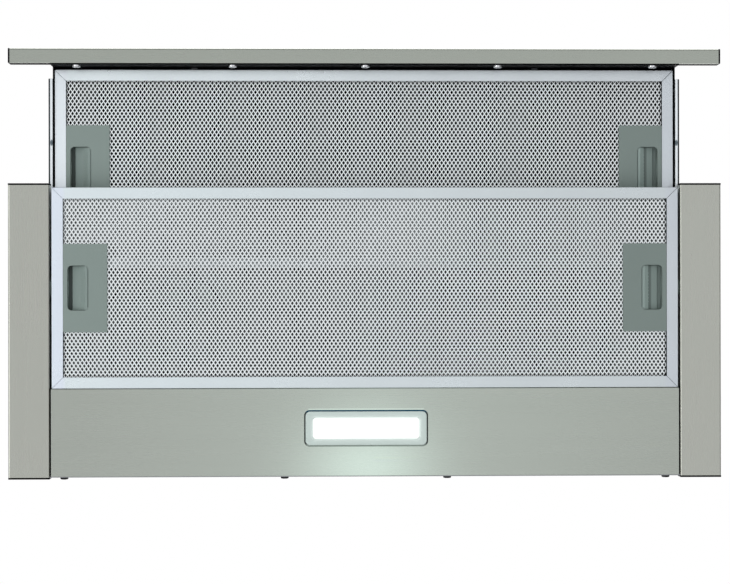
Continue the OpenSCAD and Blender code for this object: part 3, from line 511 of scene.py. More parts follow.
finish = {
    "fascia": brushedSteel("fasciaSteel", (0.387, 0.411, 0.360), "x", roughness=0.27),
    "trim": brushedSteel("trimSteel", (0.459, 0.468, 0.414), "y", roughness=0.27),
    "panel": brushedSteel("panelSteel", (0.416, 0.442, 0.391), "x", roughness=0.27, glow=litPanel),
    "rearFrame": rolledAluminium("rearFrameAluminium", None, roughness=0.30, bars=barShades["rear"]),
    "frontFrame": rolledAluminium("frontFrameAluminium", None, roughness=0.30, bars=barShades["front"]),
    "mesh": expandedMetal("meshAluminium", (0.955, 1.0, 0.99)),
    "innerMesh": innerNetMetal("innerMeshAluminium"),
    # painted shade: the front filter's inner net is painted near black, for the dark seen through the holes
    "deepMesh": expandedMetal("deepMeshAluminium", (0.04, 0.042, 0.045)),
    # painted shade: handles darker towards the hood's right, away from the light
    "handle": mouldedPlastic("handlePlastic", (0.275, 0.342, 0.31), right=0.82),
    "rearLatch": mouldedPlastic("rearLatchPlastic", (0.29, 0.36, 0.33), shine=0.12,
                                handle="rear_handle_left"),
    "frontLatch": mouldedPlastic("frontLatchPlastic", (0.29, 0.36, 0.33), shine=0.12,
                                 handle="front_handle_left"),
    "black": mouldedPlastic("blackPlastic", (0.006, 0.0065, 0.007), shine=0.10),
    "backing": mouldedPlastic("backingPlastic", (0.0015, 0.0018, 0.0022), roughness=0.7, shine=0.03),
    "grey": mouldedPlastic("greyPlastic", (0.20, 0.21, 0.22)),
    "white": mouldedPlastic("whitePlastic", (0.72, 0.72, 0.70), roughness=0.42),
    "bezel": mouldedPlastic("bezelLacquer", (0.69, 0.80, 0.74), roughness=0.32, grainDepth=0.004, spread=0.03,
                            extra=litBezel),
    "seal": mouldedPlastic("sealRubber", (0.05, 0.05, 0.05), roughness=0.7, shine=0.05, extra=litSeal),
    "coat": coatedSteel("blackCoat", (0.0012, 0.0014, 0.0018), shine=0.03, dusting=0.002, bare=0.04),
    "zinc": galvanisedSteel("zincSheet", (0.33, 0.338, 0.342)),
    "rail": rolledAluminium("railSteel", (0.94, 0.99, 1.0), roughness=0.34, oil=railPaintedShade),
    "hook": rolledAluminium("hookAluminium", (0.12, 0.125, 0.13), roughness=0.5),
    "darkScrew": coatedSteel("darkScrew", (0.02, 0.021, 0.022), roughness=0.4),
    "screw": rolledAluminium("screwZinc", (0.82, 0.83, 0.84), roughness=0.26),
    "cage": brushedSteel("cageStrip", (0.60, 0.50, 0.26), "y", roughness=0.3),
    "motor": coatedSteel("motorCoat", (0.30, 0.31, 0.32)),
    "board": mouldedPlastic("boardLacquer", (0.03, 0.16, 0.07), roughness=0.3, grainSize=2.5,
                            grainDepth=0.01),
    "lens": litLens(),
}
print("finishes made:", len(finish))


# surfaces

class Shape:
    # points in millimetres and faces, gathered from the surfaces of one piece
    def __init__(self):
        self.points = []
        self.faces = []
        self.count = 0

    def add(self, points, faces):
        points = np.asarray(points, float).reshape(-1, 3)
        self.faces += [[i + self.count for i in face] for face in faces]
        self.points.append(points)
        self.count += len(points)
        return self

    def loft(self, loops, caps=(True, True), closed=False):
        # quads between neighbouring loops of as many points, and a face over each end
        loops = np.asarray(loops, float)
        rows, width = loops.shape[:2]
        near = np.arange(rows if closed else rows - 1)[:, None] * width
        far = (near + width) % (rows * width)
        k = np.arange(width)
        nextK = (k + 1) % width
        faces = np.stack([near + k, near + nextK, far + nextK, far + k], -1).reshape(-1, 4).tolist()
        if not closed:
            faces += [list(range(width))[::-1]] if caps[0] else []
            faces += [list(range((rows - 1) * width, rows * width))] if caps[1] else []
        return self.add(loops, faces)

    def mirrored(self):
        # the same shape on the other side of the middle
        other = Shape()
        for points in self.points:
            other.points.append(points * [-1, 1, 1])
        other.faces = [face[::-1] for face in self.faces]
        other.count = self.count
        return other

    def join(self, other):
        return self.add(np.concatenate(other.points), other.faces)


def place(name, shape, paint, body, replaced=(), smooth=38, mend=True):
    # makes the mesh, turns its faces outwards and lets it ride on a body
    data = bpy.data.meshes.new(name)
    points = np.concatenate(shape.points) * mm
    data.from_pydata(points.tolist(), [], shape.faces)
    if mend:
        work = bmesh.new()
        work.from_mesh(data)
        bmesh.ops.remove_doubles(work, verts=work.verts, dist=1e-7)
        bmesh.ops.recalc_face_normals(work, faces=work.faces)
        work.to_mesh(data)
        work.free()
    piece = ride(name, data, paint, body, replaced, smooth)
    if mend:
        # broad faces keep their own normal where they meet narrow roundings
        weighted = piece.modifiers.new("broadFaces", "WEIGHTED_NORMAL")
        weighted.keep_sharp = True
        weighted.weight = 90
    return piece


def ride(name, data, paint, body, replaced, smooth):
    data.shade_smooth()
    data.set_sharp_from_angle(angle=math.radians(smooth))
    data.materials.clear()
    data.materials.append(finish[paint])
    piece = bpy.data.objects.new(name, data)
    bpy.context.scene.collection.objects.link(piece)
    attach(piece, body)
    if replaced:
        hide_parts(*replaced)
    return piece


def roundRect(x, y, halfX, halfY, radius, z, steps=5):
    # a loop of four quarter circles round the corners of a rectangle
    radius = max(min(radius, halfX - 0.01, halfY - 0.01), 0.01)
    turn = np.linspace(0, math.pi / 2, steps + 1)
    turns = np.concatenate([turn + quarter * math.pi / 2 for quarter in range(4)])
    signX = np.repeat([1, -1, -1, 1], steps + 1)
    signY = np.repeat([1, 1, -1, -1], steps + 1)
    loopX = x + signX * (halfX - radius) + radius * np.cos(turns)
    loopY = y + signY * (halfY - radius) + radius * np.sin(turns)
    return np.stack([loopX, loopY, np.full_like(loopX, z)], -1)


def foldedSheet(line, thickness, bend, steps=4):
    # a bent sheet's section: the middle line with an arc at each corner, moved half the thickness
    # to both sides along its normal
    line = np.array(line, float)
    way = np.diff(line, axis=0)
    way /= np.linalg.norm(way, axis=1)[:, None]
    left = np.stack([-way[:, 1], way[:, 0]], -1)
    radius = bend + thickness / 2
    middle = [line[0]]
    normal = [left[0]]
    for i in range(1, len(line) - 1):
        turn = math.atan2(way[i - 1][0] * way[i][1] - way[i - 1][1] * way[i][0], way[i - 1] @ way[i])
        sign = math.copysign(1, turn)
        centre = line[i] - way[i - 1] * radius * math.tan(abs(turn) / 2) + left[i - 1] * radius * sign
        for angle in np.linspace(0, turn, steps + 1):
            cos, sin = math.cos(angle), math.sin(angle)
            out = np.array([[cos, -sin], [sin, cos]]) @ left[i - 1]
            middle.append(centre - out * radius * sign)
            normal.append(out)
    middle.append(line[-1])
    normal.append(left[-1])
    middle = np.array(middle)
    normal = np.array(normal)
    return np.concatenate([middle + normal * thickness / 2, (middle - normal * thickness / 2)[::-1]])


def alongX(section, low, high):
    # a section in Y and Z carried from one X to another
    loops = [np.stack([np.full(len(section), x), section[:, 0], section[:, 1]], -1) for x in (low, high)]
    return Shape().loft(loops)


def alongY(section, low, high):
    # a section in X and Z carried from one Y to another
    loops = [np.stack([section[:, 0], np.full(len(section), y), section[:, 1]], -1) for y in (low, high)]
    return Shape().loft(loops)


def dress(node, name, paint, body, bevel=0.25, smooth=35, segments=2):
    # a copy of a CAD solid with its loose triangles joined and its edges broken
    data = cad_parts[node].data.copy()
    work = bmesh.new()
    work.from_mesh(data)
    bmesh.ops.remove_doubles(work, verts=work.verts, dist=2e-6)
    bmesh.ops.dissolve_limit(work, angle_limit=math.radians(0.6), verts=work.verts, edges=work.edges)
    work.to_mesh(data)
    work.free()
    piece = ride(name, data, paint, body, (node,), smooth)
    if bevel:
        edge = piece.modifiers.new("brokenEdges", "BEVEL")
        edge.width = bevel * mm
        edge.segments = segments
        edge.limit_method = "ANGLE"
        edge.angle_limit = math.radians(40)
        edge.harden_normals = True
        edge.use_clamp_overlap = True
    return piece


# side trims

trim = {"sheet": 0.8, "bend": 0.7, "lip": 12, "shelf": 40}


def sideTrims():
    low, high = nodeBox("side_trim_right")
    half = trim["sheet"] / 2
    tab = nodeBox("housing_shell")[1][0]
    shelf = trim["shelf"] - half
    line = [(low[0] + half, trim["lip"]), (low[0] + half, half), (high[0] - half, half),
            (high[0] - half, shelf), (tab + half, shelf), (tab + half, high[2])]
    section = foldedSheet(line, trim["sheet"], trim["bend"])
    right = alongY(section, low[1], high[1])
    place("sideTrimRight", right, "trim", "housing", ["side_trim_right"])
    place("sideTrimLeft", right.mirrored(), "trim", "housing", ["side_trim_left"])
    dress("trim_end_caps", "trimEndCaps", "backing", "housing", 0.3)


sideTrims()

# front panel

panelFront = {"sheet": 0.8, "bend": 0.9, "fold": 7.0, "gap": 0.2}


def frontPanel():
    low, high = nodeBox("fascia_profile")
    windowLow, windowHigh = nodeBox("button_bezel")
    windowLow -= panelFront["gap"]
    windowHigh += panelFront["gap"]
    half = panelFront["sheet"] / 2
    front, foldEnd = low[1] + half, low[1] + panelFront["fold"]
    bottom = [(front, windowLow[2]), (front, low[2] + half), (high[1], low[2] + half)]
    top = [(foldEnd, high[2] - half), (front, high[2] - half), (front, windowHigh[2])]
    whole = foldedSheet(top[:2] + bottom[1:], panelFront["sheet"], panelFront["bend"])
    left, right = windowLow[0], windowHigh[0]
    shape = alongX(whole, low[0], left)
    shape.join(alongX(whole, right, high[0]))
    for strip in (top, bottom):
        shape.join(alongX(foldedSheet(strip, panelFront["sheet"], panelFront["bend"]), left, right))
    place("frontPanel", shape, "fascia", "drawer", ["fascia_profile"])
    dress("fascia_backing", "frontPanelBacking", "backing", "drawer", 0.3)
    dress("fascia_end_caps", "frontPanelEndCaps", "backing", "drawer", 0.5, segments=3)


frontPanel()

# rear lamp panel, lamp bezel and lens

bezel = {
    "cutBack": 4.15,           # from the bezel's box in to the edge of its face
    "seat": 1.42,              # height of its flange
    "flangeCorner": 4.6,
    "faceCorner": 3.8,
    "rimRound": 0.5,
    "rimSlope": 1.3,
    "holeCorner": 2.2,
}
lens = {"gap": 0.2, "corner": 2.0, "dome": 0.5, "flange": 1.0}
seal = {"gap": 0.04, "width": 1.04, "low": 0.9, "high": 1.38}


def lampPieces():
    dress("rear_lamp_panel", "rearLampPanel", "panel", "housing", 0.3)
    low, high = nodeBox("lamp_bezel")
    holeX, holeY = lamp["halfX"], lamp["halfY"]
    boxX, boxY = high[0], (high[1] - low[1]) / 2
    faceX, faceY = boxX - bezel["cutBack"], boxY - bezel["cutBack"]
    slope, rim = bezel["rimSlope"], bezel["rimRound"]
    # from the hole's wall over its sloping mouth and the face to the flange: half sizes, corner and height
    rings = [(holeX, holeY, bezel["holeCorner"], high[2]),
             (holeX, holeY, bezel["holeCorner"], low[2] + 0.75),
             (holeX + 0.35, holeY + 0.35, 2.5, low[2] + 0.45),
             (holeX + slope, holeY + slope, 3.3, low[2]),
             (faceX - rim * 1.6, faceY - rim * 1.6, 3.1, low[2]),
             (faceX - rim * 0.4, faceY - rim * 0.4, 3.6, low[2] + 0.15),
             (faceX, faceY, bezel["faceCorner"], low[2] + rim),
             (faceX, faceY, bezel["faceCorner"], bezel["seat"]),
             (boxX, boxY, bezel["flangeCorner"], bezel["seat"]),
             (boxX, boxY, bezel["flangeCorner"], high[2])]
    frameShape = Shape().loft([roundRect(0, lampY, *ring) for ring in rings], closed=True)
    place("lampBezel", frameShape, "bezel", "housing", ["lamp_bezel"])

    # a black ring in the gap round the bezel stands in for the gap's shade
    inner, outer = seal["gap"], seal["gap"] + seal["width"]
    corners = ((inner, seal["low"]), (inner, seal["high"]), (outer, seal["high"]), (outer, seal["low"]))
    loops = [roundRect(0, lampY, faceX + out, faceY + out, bezel["faceCorner"], z) for out, z in corners]
    place("lampSeal", Shape().loft(loops, closed=True), "seal", "housing")

    low, high = nodeBox("lamp_lens")
    lensX, lensY = holeX - lens["gap"], holeY - lens["gap"]
    flangeX, flangeY = high[0], (high[1] - low[1]) / 2
    flangeZ, dome = high[2] - lens["flange"], lens["dome"]
    rings = [(flangeX, flangeY, bezel["holeCorner"], high[2]),
             (flangeX, flangeY, bezel["holeCorner"], flangeZ),
             (lensX, lensY, lens["corner"], flangeZ),
             (lensX, lensY, lens["corner"], low[2] + dome),
             (lensX - 0.25, lensY - 0.25, 1.8, low[2] + dome * 0.5),
             (lensX - 0.9, lensY - 0.9, 1.4, low[2] + dome * 0.15),
             (lensX - 3, lensY - 3, 1.0, low[2])]
    lensShape = Shape().loft([roundRect(0, lampY, *ring) for ring in rings])
    place("lampLens", lensShape, "lens", "housing", ["lamp_lens"])


lampPieces()
print("trims, front panel and lamp made")

# grease filters

filterMake = {
    "face": 9.4, "sheet": 0.8, "round": 0.4, "mitre": 0.12, "height": 9.0,
    "hook": 2.8, "hookX": (-145, 145), "hookHalf": (2.5, 1.6), "hookZ": (4.4, 5.6),
}
netMake = {
    "pitchX": 3.48, "pitchY": 2.61, "tilt": 0.16, "strand": 0.35, "clear": 0.1, "underLip": 2.0,
    "rearOpen": (0.68, 0.63), "frontOpen": (0.735, 0.69), "innerOpen": (0.64, 0.60),
    "behind": 3.0,             # the next net of the pack lies this far behind
    "innerInset": 3,
    "moreX": 1.009,            # its pitch in the rear filter, as a share of the first net's
    "moreY": 1.016,
    "coarse": 2.0,             # and in the front filter
    "crossing": 45,            # two strands of that net cross this far behind the frame's front
    "overlap": 1.5,            # a net reaches this far over a handle's plate
    "pocketRoom": 8,
}


def frameBox(node, hookWay):
    # a filter frame's box without its hooks, which point to the rear or to the front
    low, high = nodeBox(node)
    if hookWay > 0:
        high[1] -= filterMake["hook"]
    else:
        low[1] += filterMake["hook"]
    return low, high


def mitredBar(section, first, last, along):
    # one bar from one mitre to the other; the lower edge of each cut is broken
    u, z = section[:, 0], section[:, 1]
    under = z < z.min() + 0.3
    loops = []
    for inward, lift in ((0, 0.14), (0.16, 0.03), (0.4, 0)):
        loops.append((first + u + inward, z + under * lift))
    for inward, lift in ((0.4, 0), (0.16, 0.03), (0, 0.14)):
        loops.append((last - u - inward, z + under * lift))
    return [along(u, at, height) for at, height in loops]


def filterFrame(node, where, body, hookWay):
    # four folded bars, cut at 45 degrees, with a hair's gap at each mitre, and two hooks
    low, high = frameBox(node, hookWay)
    face = filterMake["face"]
    z0, z1 = low[2], low[2] + filterMake["height"]
    sheet, round_ = filterMake["sheet"], filterMake["round"]
    turn = np.linspace(0, math.pi / 2, 5)
    lower = np.stack([round_ - round_ * np.sin(turn), z0 + round_ - round_ * np.cos(turn)], -1)
    upper = np.stack([round_ - round_ * np.cos(turn), z1 - round_ + round_ * np.sin(turn)], -1)
    inside = [(face, z1), (face, z1 - sheet), (sheet, z1 - sheet), (sheet, z0 + sheet), (face, z0 + sheet)]
    section = np.concatenate([[(face, z0)], lower, upper, inside])
    gap = filterMake["mitre"]
    shape = Shape()
    for side, out in ((1, low), (-1, high)):
        shape.loft(mitredBar(section, low[0] + gap, high[0] - gap,
                             lambda u, at, z: np.stack([at, out[1] + side * u, z], -1)))
        shape.loft(mitredBar(section, low[1] + gap, high[1] - gap,
                             lambda u, at, z: np.stack([out[0] + side * u, at, z], -1)))
    place(where + "FilterFrame", shape, where + "Frame", body, [node])

    halfX, halfY = filterMake["hookHalf"]
    y = high[1] - filterMake["round"] + halfY if hookWay > 0 else low[1] - filterMake["hook"] + halfY
    hooks = Shape()
    for x in filterMake["hookX"]:
        hooks.loft([roundRect(x, y, halfX, halfY, halfY / 2, low[2] + z) for z in filterMake["hookZ"]])
    place(where + "FilterHooks", hooks, "hook", body)


def expandedNet(low, high, z, pitchX, pitchY, holes, opening, start=None):
    # diamonds that tile the plane, each with a diamond hole whose front and rear points are tilted out of
    # the plane, as in cut and stretched sheet; lower and upper face and the hole's walls.
    # holes: rectangles where the net is left out
    rows = int((high[1] - low[1]) / pitchY) - 1
    columns = int((high[0] - low[0]) / pitchX) - 1
    startX = (low[0] + high[0]) / 2 - (columns - 1) * pitchX / 2 - pitchX / 4
    startY = (low[1] + high[1]) / 2 - (rows - 1) * pitchY / 2
    if start:
        # two strands cross at this point
        startX += (start[0] + pitchX / 2 - startX) % pitchX
        startY = start[1] - round((start[1] - startY) / pitchY / 2) * 2 * pitchY
    row, column = np.meshgrid(np.arange(rows), np.arange(columns), indexing="ij")
    stepX = (2 * column + row % 2).ravel()
    stepY = row.ravel()
    x = startX + stepX * pitchX / 2
    y = startY + stepY * pitchY
    keep = np.ones(len(x), bool)
    for hole in holes:
        keep &= ~((x > hole[0]) & (x < hole[1]) & (y > hole[2]) & (y < hole[3]))
    stepX, stepY, x, y = stepX[keep], stepY[keep], x[keep], y[keep]
    wayX = np.array([1, 0, -1, 0])
    wayY = np.array([0, 1, 0, -1])
    # a corner's key is its step in X times a span that is more than all steps in Y, and its step in Y
    span = rows + 4
    keys = (stepX[:, None] + wayX + 2) * span + stepY[:, None] + wayY + 2
    found, corner = np.unique(keys, return_inverse=True)
    corner = corner.reshape(-1, 4)
    outer = np.stack([startX + (found // span - 2) * pitchX / 2, startY + (found % span - 2) * pitchY,
                      np.full(len(found), z)], -1)
    openX, openY = opening
    tilt, strand = netMake["tilt"], netMake["strand"]
    inner = np.stack([x[:, None] + wayX * openX * pitchX / 2, y[:, None] + wayY * openY * pitchY,
                      z + np.broadcast_to(wayY * tilt, (len(x), 4))], -1).reshape(-1, 3)
    sheet = np.concatenate([outer, inner])
    points = np.concatenate([sheet, sheet + [0, 0, strand]])
    top = len(sheet)
    hole = len(outer) + np.arange(len(inner)).reshape(-1, 4)
    nextCorner = np.roll(corner, -1, 1)
    nextHole = np.roll(hole, -1, 1)
    lower = np.stack([corner, hole, nextHole, nextCorner], -1).reshape(-1, 4)
    upper = np.stack([corner, nextCorner, nextHole, hole], -1).reshape(-1, 4) + top
    wall = np.stack([hole, hole + top, nextHole + top, nextHole], -1).reshape(-1, 4)
    edges = np.stack([corner, nextCorner], -1).reshape(-1, 2)
    names = np.sort(edges, 1) @ [len(outer), 1]
    once = np.isin(names, [n for n, c in zip(*np.unique(names, return_counts=True)) if c == 1])
    near, far = edges[once].T
    rim = np.stack([near, far, far + top, near + top], -1)
    return points, np.concatenate([lower, upper, wall, rim])


def netPiece(name, paint, body, replaced, *plan):
    shape = Shape()
    points, faces = expandedNet(*plan)
    shape.points.append(points)
    shape.faces = faces.tolist()
    place(name, shape, paint, body, replaced, smooth=20, mend=False)


def filterMesh(node, where, body, handles, hookWay):
    make = netMake
    low, high = frameBox(where + "_filter_frame", hookWay)
    inset = filterMake["face"] - make["underLip"]
    holes = []
    for handle in handles:
        (lowX, lowY, _), (highX, highY, _) = nodeBox(handle)
        over = make["overlap"]
        holes.append((lowX + over, highX - over, lowY + over, highY - over))
    z = low[2] + filterMake["sheet"] + make["tilt"] + make["clear"]
    netPiece(where + "FilterMesh", "mesh", body, [node], low + [inset, inset, 0], high - [inset, inset, 0], z,
             make["pitchX"], make["pitchY"], holes, make[where + "Open"])
    # the next net of the pack: at the rear with hardly wider meshes, so both nets agree in places only
    if where == "rear":
        moreX, moreY, start = make["moreX"], make["moreY"], (0, low[1] + make["crossing"])
    else:
        moreX, moreY, start = make["coarse"], make["coarse"], None
    inset, room = make["innerInset"], make["pocketRoom"]
    wider = [(lowX - room, highX + room, lowY, highY) for lowX, highX, lowY, highY in holes]
    netPiece(where + "FilterMeshInner", "innerMesh" if where == "rear" else "deepMesh", body, (),
             low + [inset, inset, 0], high - [inset, inset, 0], z + make["behind"], make["pitchX"] * moreX,
             make["pitchY"] * moreY, wider, make["innerOpen"], start)


handleMake = {
    "plateCorner": 0.7, "edge": 0.35, "wall": 1.2, "roof": 6.5, "sink": 0.8,
    "outerLand": 3.7,          # from the plate's outer end to the pocket's mouth
    "mouth": 17.2,
    "ledge": 5.2,              # the pocket reaches this far further in behind the plate
    "pocketHalf": 18.7,
    "pocketCorner": 3.5,
}
latchMake = {
    "gap": 0.3,
    # from the ridge's inner face outwards, and up from the filter's face
    "slope": [(0, 6.2), (0, 1.6), (0.15, 1.25), (0.5, 1.1), (1.7, 1.1), (2.3, 1.25), (3.6, 2.3), (5.4, 3.7),
              (6.2, 4.35), (7.4, 4.75), (8.6, 4.9)],
    # from the mouth's outer end inwards, and up
    "foot": [(3.7, 4.9), (3.3, 5.8), (0.3, 5.8), (0.3, 6.2)],
    "rib": [(2.0, 1.2), (2.4, 0.95), (5.9, 3.75), (6.1, 4.3)],
    "ribY": np.arange(-12, 12.1, 3.0),
    "ribHalf": 0.5,
    "tongueHalf": 6,
}


def filterHandle(node, latchNode, name, latchName, paint, body, latchBody):
    # one closed skin of round-cornered loops: the pocket's roof and walls, its rounded mouth, the plate's
    # face and edge, then the back of the plate and the outside of the pocket's box
    make = handleMake
    low, high = nodeBox(node)
    side = 1 if low[0] > 0 else -1
    inX, outX = sorted((abs(low[0]), abs(high[0])))
    y, z = (low[1] + high[1]) / 2, low[2] + plateLip
    midX, halfX, halfY = (inX + outX) / 2, (outX - inX) / 2, (high[1] - low[1]) / 2
    mouthOut = outX - make["outerLand"]
    mouthIn = mouthOut - make["mouth"]
    boxIn = mouthIn - make["ledge"]
    mouthX, mouthHalf = (mouthIn + mouthOut) / 2, (mouthOut - mouthIn) / 2
    boxX, boxHalf = (boxIn + mouthOut) / 2, (mouthOut - boxIn) / 2
    pocket, roof, wall, sink, edge = (make[k] for k in ("pocketHalf", "roof", "wall", "sink", "edge"))
    corner, round_ = make["plateCorner"], make["pocketCorner"]
    rings = [(boxX, boxHalf, pocket, 1, roof),
             (boxX, boxHalf, pocket, 1, sink),
             (mouthX, mouthHalf, pocket, round_, sink),
             (mouthX, mouthHalf, pocket, round_, 0.15),
             (mouthX, mouthHalf + 0.12, pocket + 0.12, round_ + 0.1, -0.15),
             (mouthX, mouthHalf + 0.42, pocket + 0.42, round_ + 0.4, -plateLip),
             (midX, halfX - edge, halfY - edge, corner, -plateLip),
             (midX, halfX - edge * 0.25, halfY - edge * 0.25, corner, edge * 0.3 - plateLip),
             (midX, halfX, halfY, corner, edge - plateLip),
             (midX, halfX, halfY, corner, sink),
             (boxX, boxHalf + wall, pocket + wall, 1.5, sink),
             (boxX, boxHalf + wall, pocket + wall, 1.5, roof + wall)]
    shape = Shape().loft([roundRect(x, y, *sizes, z + up) for x, *sizes, up in rings])
    shape = shape if side > 0 else shape.mirrored()
    place(name, shape, "handle", body, [node], smooth=45)

    # the latch: a ridge to pull by, a ribbed slope down to a foot, and a tongue out through the frame
    latchLow, latchHigh = nodeBox(latchNode)
    tip = max(abs(latchLow[0]), abs(latchHigh[0]))
    gap = latchMake["gap"]
    ridge = mouthIn + gap
    slope = [(ridge + out, z + up) for out, up in latchMake["slope"]]
    foot = [(mouthOut - back, z + up) for back, up in latchMake["foot"]]
    shape = alongY(np.array(slope + foot), y - pocket + gap, y + pocket - gap)
    bar = np.array(latchMake["rib"]) + [ridge, z]
    for rib in latchMake["ribY"]:
        shape.join(alongY(bar, y + rib - latchMake["ribHalf"], y + rib + latchMake["ribHalf"]))
    tongue = [(ridge + 1, 6.15), (ridge + 1, 5.85), (mouthOut - 0.4, 5.85), (mouthOut - 0.4, 5), (tip, 5),
              (tip, 5.55), (tip - 1, 6.15)]
    shape.join(alongY(np.array(tongue) + [0, z], y - latchMake["tongueHalf"], y + latchMake["tongueHalf"]))
    shape = shape if side > 0 else shape.mirrored()
    place(latchName, shape, paint, latchBody, [latchNode], smooth=30)


for where, body, hookWay in (("rear", "housing", 1), ("front", "drawer", -1)):
    handles = [where + "_handle_left", where + "_handle_right"]
    filterFrame(where + "_filter_frame", where, body, hookWay)
    filterMesh(where + "_filter_mesh", where, body, handles, hookWay)
    for side in ("left", "right"):
        latch = where + "_latch_" + side
        filterHandle(where + "_handle_" + side, latch, where + "Handle" + side.title(),
                     where + "Latch" + side.title(), where + "Latch", body, latch)
print("filters made")

# drawer and rails

dress("drawer_pan", "drawerPan", "coat", "drawer", 0.3)
for side in ("left", "right"):
    dress("rail_fixed_" + side, "railFixed" + side.title(), "rail", "housing", 0.35)
    dress("rail_moving_" + side, "railMoving" + side.title(), "rail", "drawer", 0.35)
    dress("ball_cage_" + side, "ballCage" + side.title(), "cage", "cage_" + side, 0.1)

# screws

screwMake = {
    "radius": 3.4, "height": 2.2, "shank": 1.9, "rim": 0.62,
    "slot": 0.55, "slotLength": 2.0, "slotDepth": 1.1, "slotSlope": 0.25, "endSlope": 0.4,
}
screwRows = {
    "front": {"x": (-242.5, -111.6, 0, 111.6, 242.5), "z": 7.5, "length": 7},
    "rear": {"x": (-253.2, -68.4, 68.4, 253.2), "z": 8, "length": 3.6},
    "trim": {"count": 3, "z": 46, "length": 2.8},
}
toRear = [(1, 0, 0), (0, 0, 1), (0, -1, 0)]       # head towards +Y
toRight = [(0, 0, 1), (0, 1, 0), (-1, 0, 0)]      # head towards +X


def screwHead(length, rings=14, steps=48):
    # pan head: its height is rim + (1 - rim) * root of (1 - share^4), share being that of the radius; the
    # cross is sunk where a point is near either axis. Head on +Z, shank below.
    make = screwMake
    share = np.linspace(0, 1, rings)[:, None]
    turns = np.linspace(0, 2 * math.pi, steps, endpoint=False)
    r = make["radius"] * np.broadcast_to(share, (rings, steps))
    x, y = r * np.cos(turns), r * np.sin(turns)
    dome = make["height"] * (make["rim"] + (1 - make["rim"]) * np.sqrt(np.clip(1 - share ** 4, 0, 1)))

    def arm(beside, along):
        inSlot = np.clip((make["slot"] - np.abs(beside)) / make["slotSlope"], 0, 1)
        return inSlot * np.clip((make["slotLength"] - np.abs(along)) / make["endSlope"], 0, 1)

    def ring(radius, z):
        return np.stack([radius * np.cos(turns), radius * np.sin(turns), np.full(steps, z)], -1)

    sunk = np.maximum(arm(x, y), arm(y, x)) * make["slotDepth"]
    shank = make["shank"]
    loops = [*np.stack([x, y, dome - sunk], -1), ring(make["radius"], 0), ring(shank, 0),
             ring(shank, 0.6 - length), ring(shank * 0.4, -length)]
    return Shape().loft(loops)


def screws(places, turned, length):
    # turned maps the screw's own axes to the hood's
    shape = Shape()
    for at in places:
        one = screwHead(length)
        shape.add(np.concatenate(one.points) @ np.array(turned).T + at, one.faces)
    return shape


def screwSet(where, name, node, body, paint):
    row = screwRows[where]
    seat = nodeBox(node)[1][1] - screwMake["height"]
    shape = screws([(x, seat, row["z"]) for x in row["x"]], toRear, row["length"])
    place(name, shape, paint, body, [node], smooth=32)


def trimScrews():
    row = screwRows["trim"]
    low, high = nodeBox("trim_screws")
    rowY = np.linspace(low[1] + screwMake["radius"], high[1] - screwMake["radius"], row["count"])
    seat = high[0] - screwMake["height"]
    shape = screws([(seat, y, row["z"]) for y in rowY], toRight, row["length"])
    shape.join(shape.mirrored())
    place("trimScrews", shape, "screw", "housing", ["trim_screws"], smooth=32)


screwSet("front", "frontPanelScrews", "fascia_screws", "drawer", "screw")
screwSet("rear", "rearPanelScrews", "rear_panel_screws", "housing", "darkScrew")
trimScrews()
print("screws made")

# buttons

buttonMake = {
    "halfX": 5.8, "halfZ": 3.8, "corner": 1.3, "dish": 0.35, "edge": 0.4,
    "lip": 1.0, "lipFrom": 3.4, "lipTo": 4.4,
}


def pushButton(node, name, body):
    # a dished cap with a lip round it, as loops of round-cornered rectangles along the press direction
    low, high = nodeBox(node)
    x, z = (low[0] + high[0]) / 2, (low[2] + high[2]) / 2
    make = buttonMake
    corner, edge, lip = make["corner"], make["edge"], make["lip"]
    # smaller than the cap by, along X and along Z; corner; depth behind the front
    plan = [(2.2, 1.4, 0.6, make["dish"]), (edge * 2, edge * 2, 1.0, 0.05), (edge, edge, 1.1, 0.0),
            (0.1, 0.1, 1.25, edge * 0.4), (0, 0, corner, edge), (0, 0, corner, make["lipFrom"]),
            (-lip, -lip, 0.5, make["lipFrom"]), (-lip, -lip, 0.5, make["lipTo"]),
            (0, 0, corner, make["lipTo"]), (0, 0, corner, high[1] - low[1])]
    loops = []
    for lessX, lessZ, bend, depth in plan:
        loop = roundRect(0, 0, make["halfX"] - lessX, make["halfZ"] - lessZ, bend, 0)
        loops.append(np.stack([x + loop[:, 0], low[1] + depth + loop[:, 2], z + loop[:, 1]], -1))
    place(name, Shape().loft(loops), "grey", body, [node])


for word in ("off", "slow", "medium", "fast", "lamp"):
    pushButton("button_" + word, "button" + word.title(), "button_" + word)
dress("button_bezel", "buttonBezel", "black", "drawer", 0.2)

# housing, outlet and what is inside

dress("housing_shell", "housingShell", "zinc", "housing", 0.4)
dress("blower_plate", "blowerPlate", "zinc", "housing", 0.2)
dress("inlet_grilles", "inletGrilles", "black", "housing", 0.2)
dress("outlet_collar", "outletCollar", "black", "housing", 0.4, segments=3)
dress("cable_gland", "cableGland", "black", "housing", 0.4, segments=3)
dress("flap_left", "flapLeft", "grey", "flap_left", 0.2)
dress("flap_right", "flapRight", "grey", "flap_right", 0.2)

# what is inside is shown as the CAD has it
plainNodes = {
    "lamp_housing": "white", "lamp_led_board": "board", "switch_board": "board", "scroll_base": "black",
    "scroll_cover": "black", "impeller_left": "grey", "impeller_right": "grey", "motor_left": "motor",
    "motor_right": "motor", "flap_pin": "rail", "control_box": "white", "control_box_cover": "white",
    "terminal_block": "white", "capacitors": "white", "led_driver": "white",
}
for node, paint in plainNodes.items():
    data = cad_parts[node].data
    data.materials.clear()
    data.materials.append(finish[paint])
print("housing made")

# floor and light

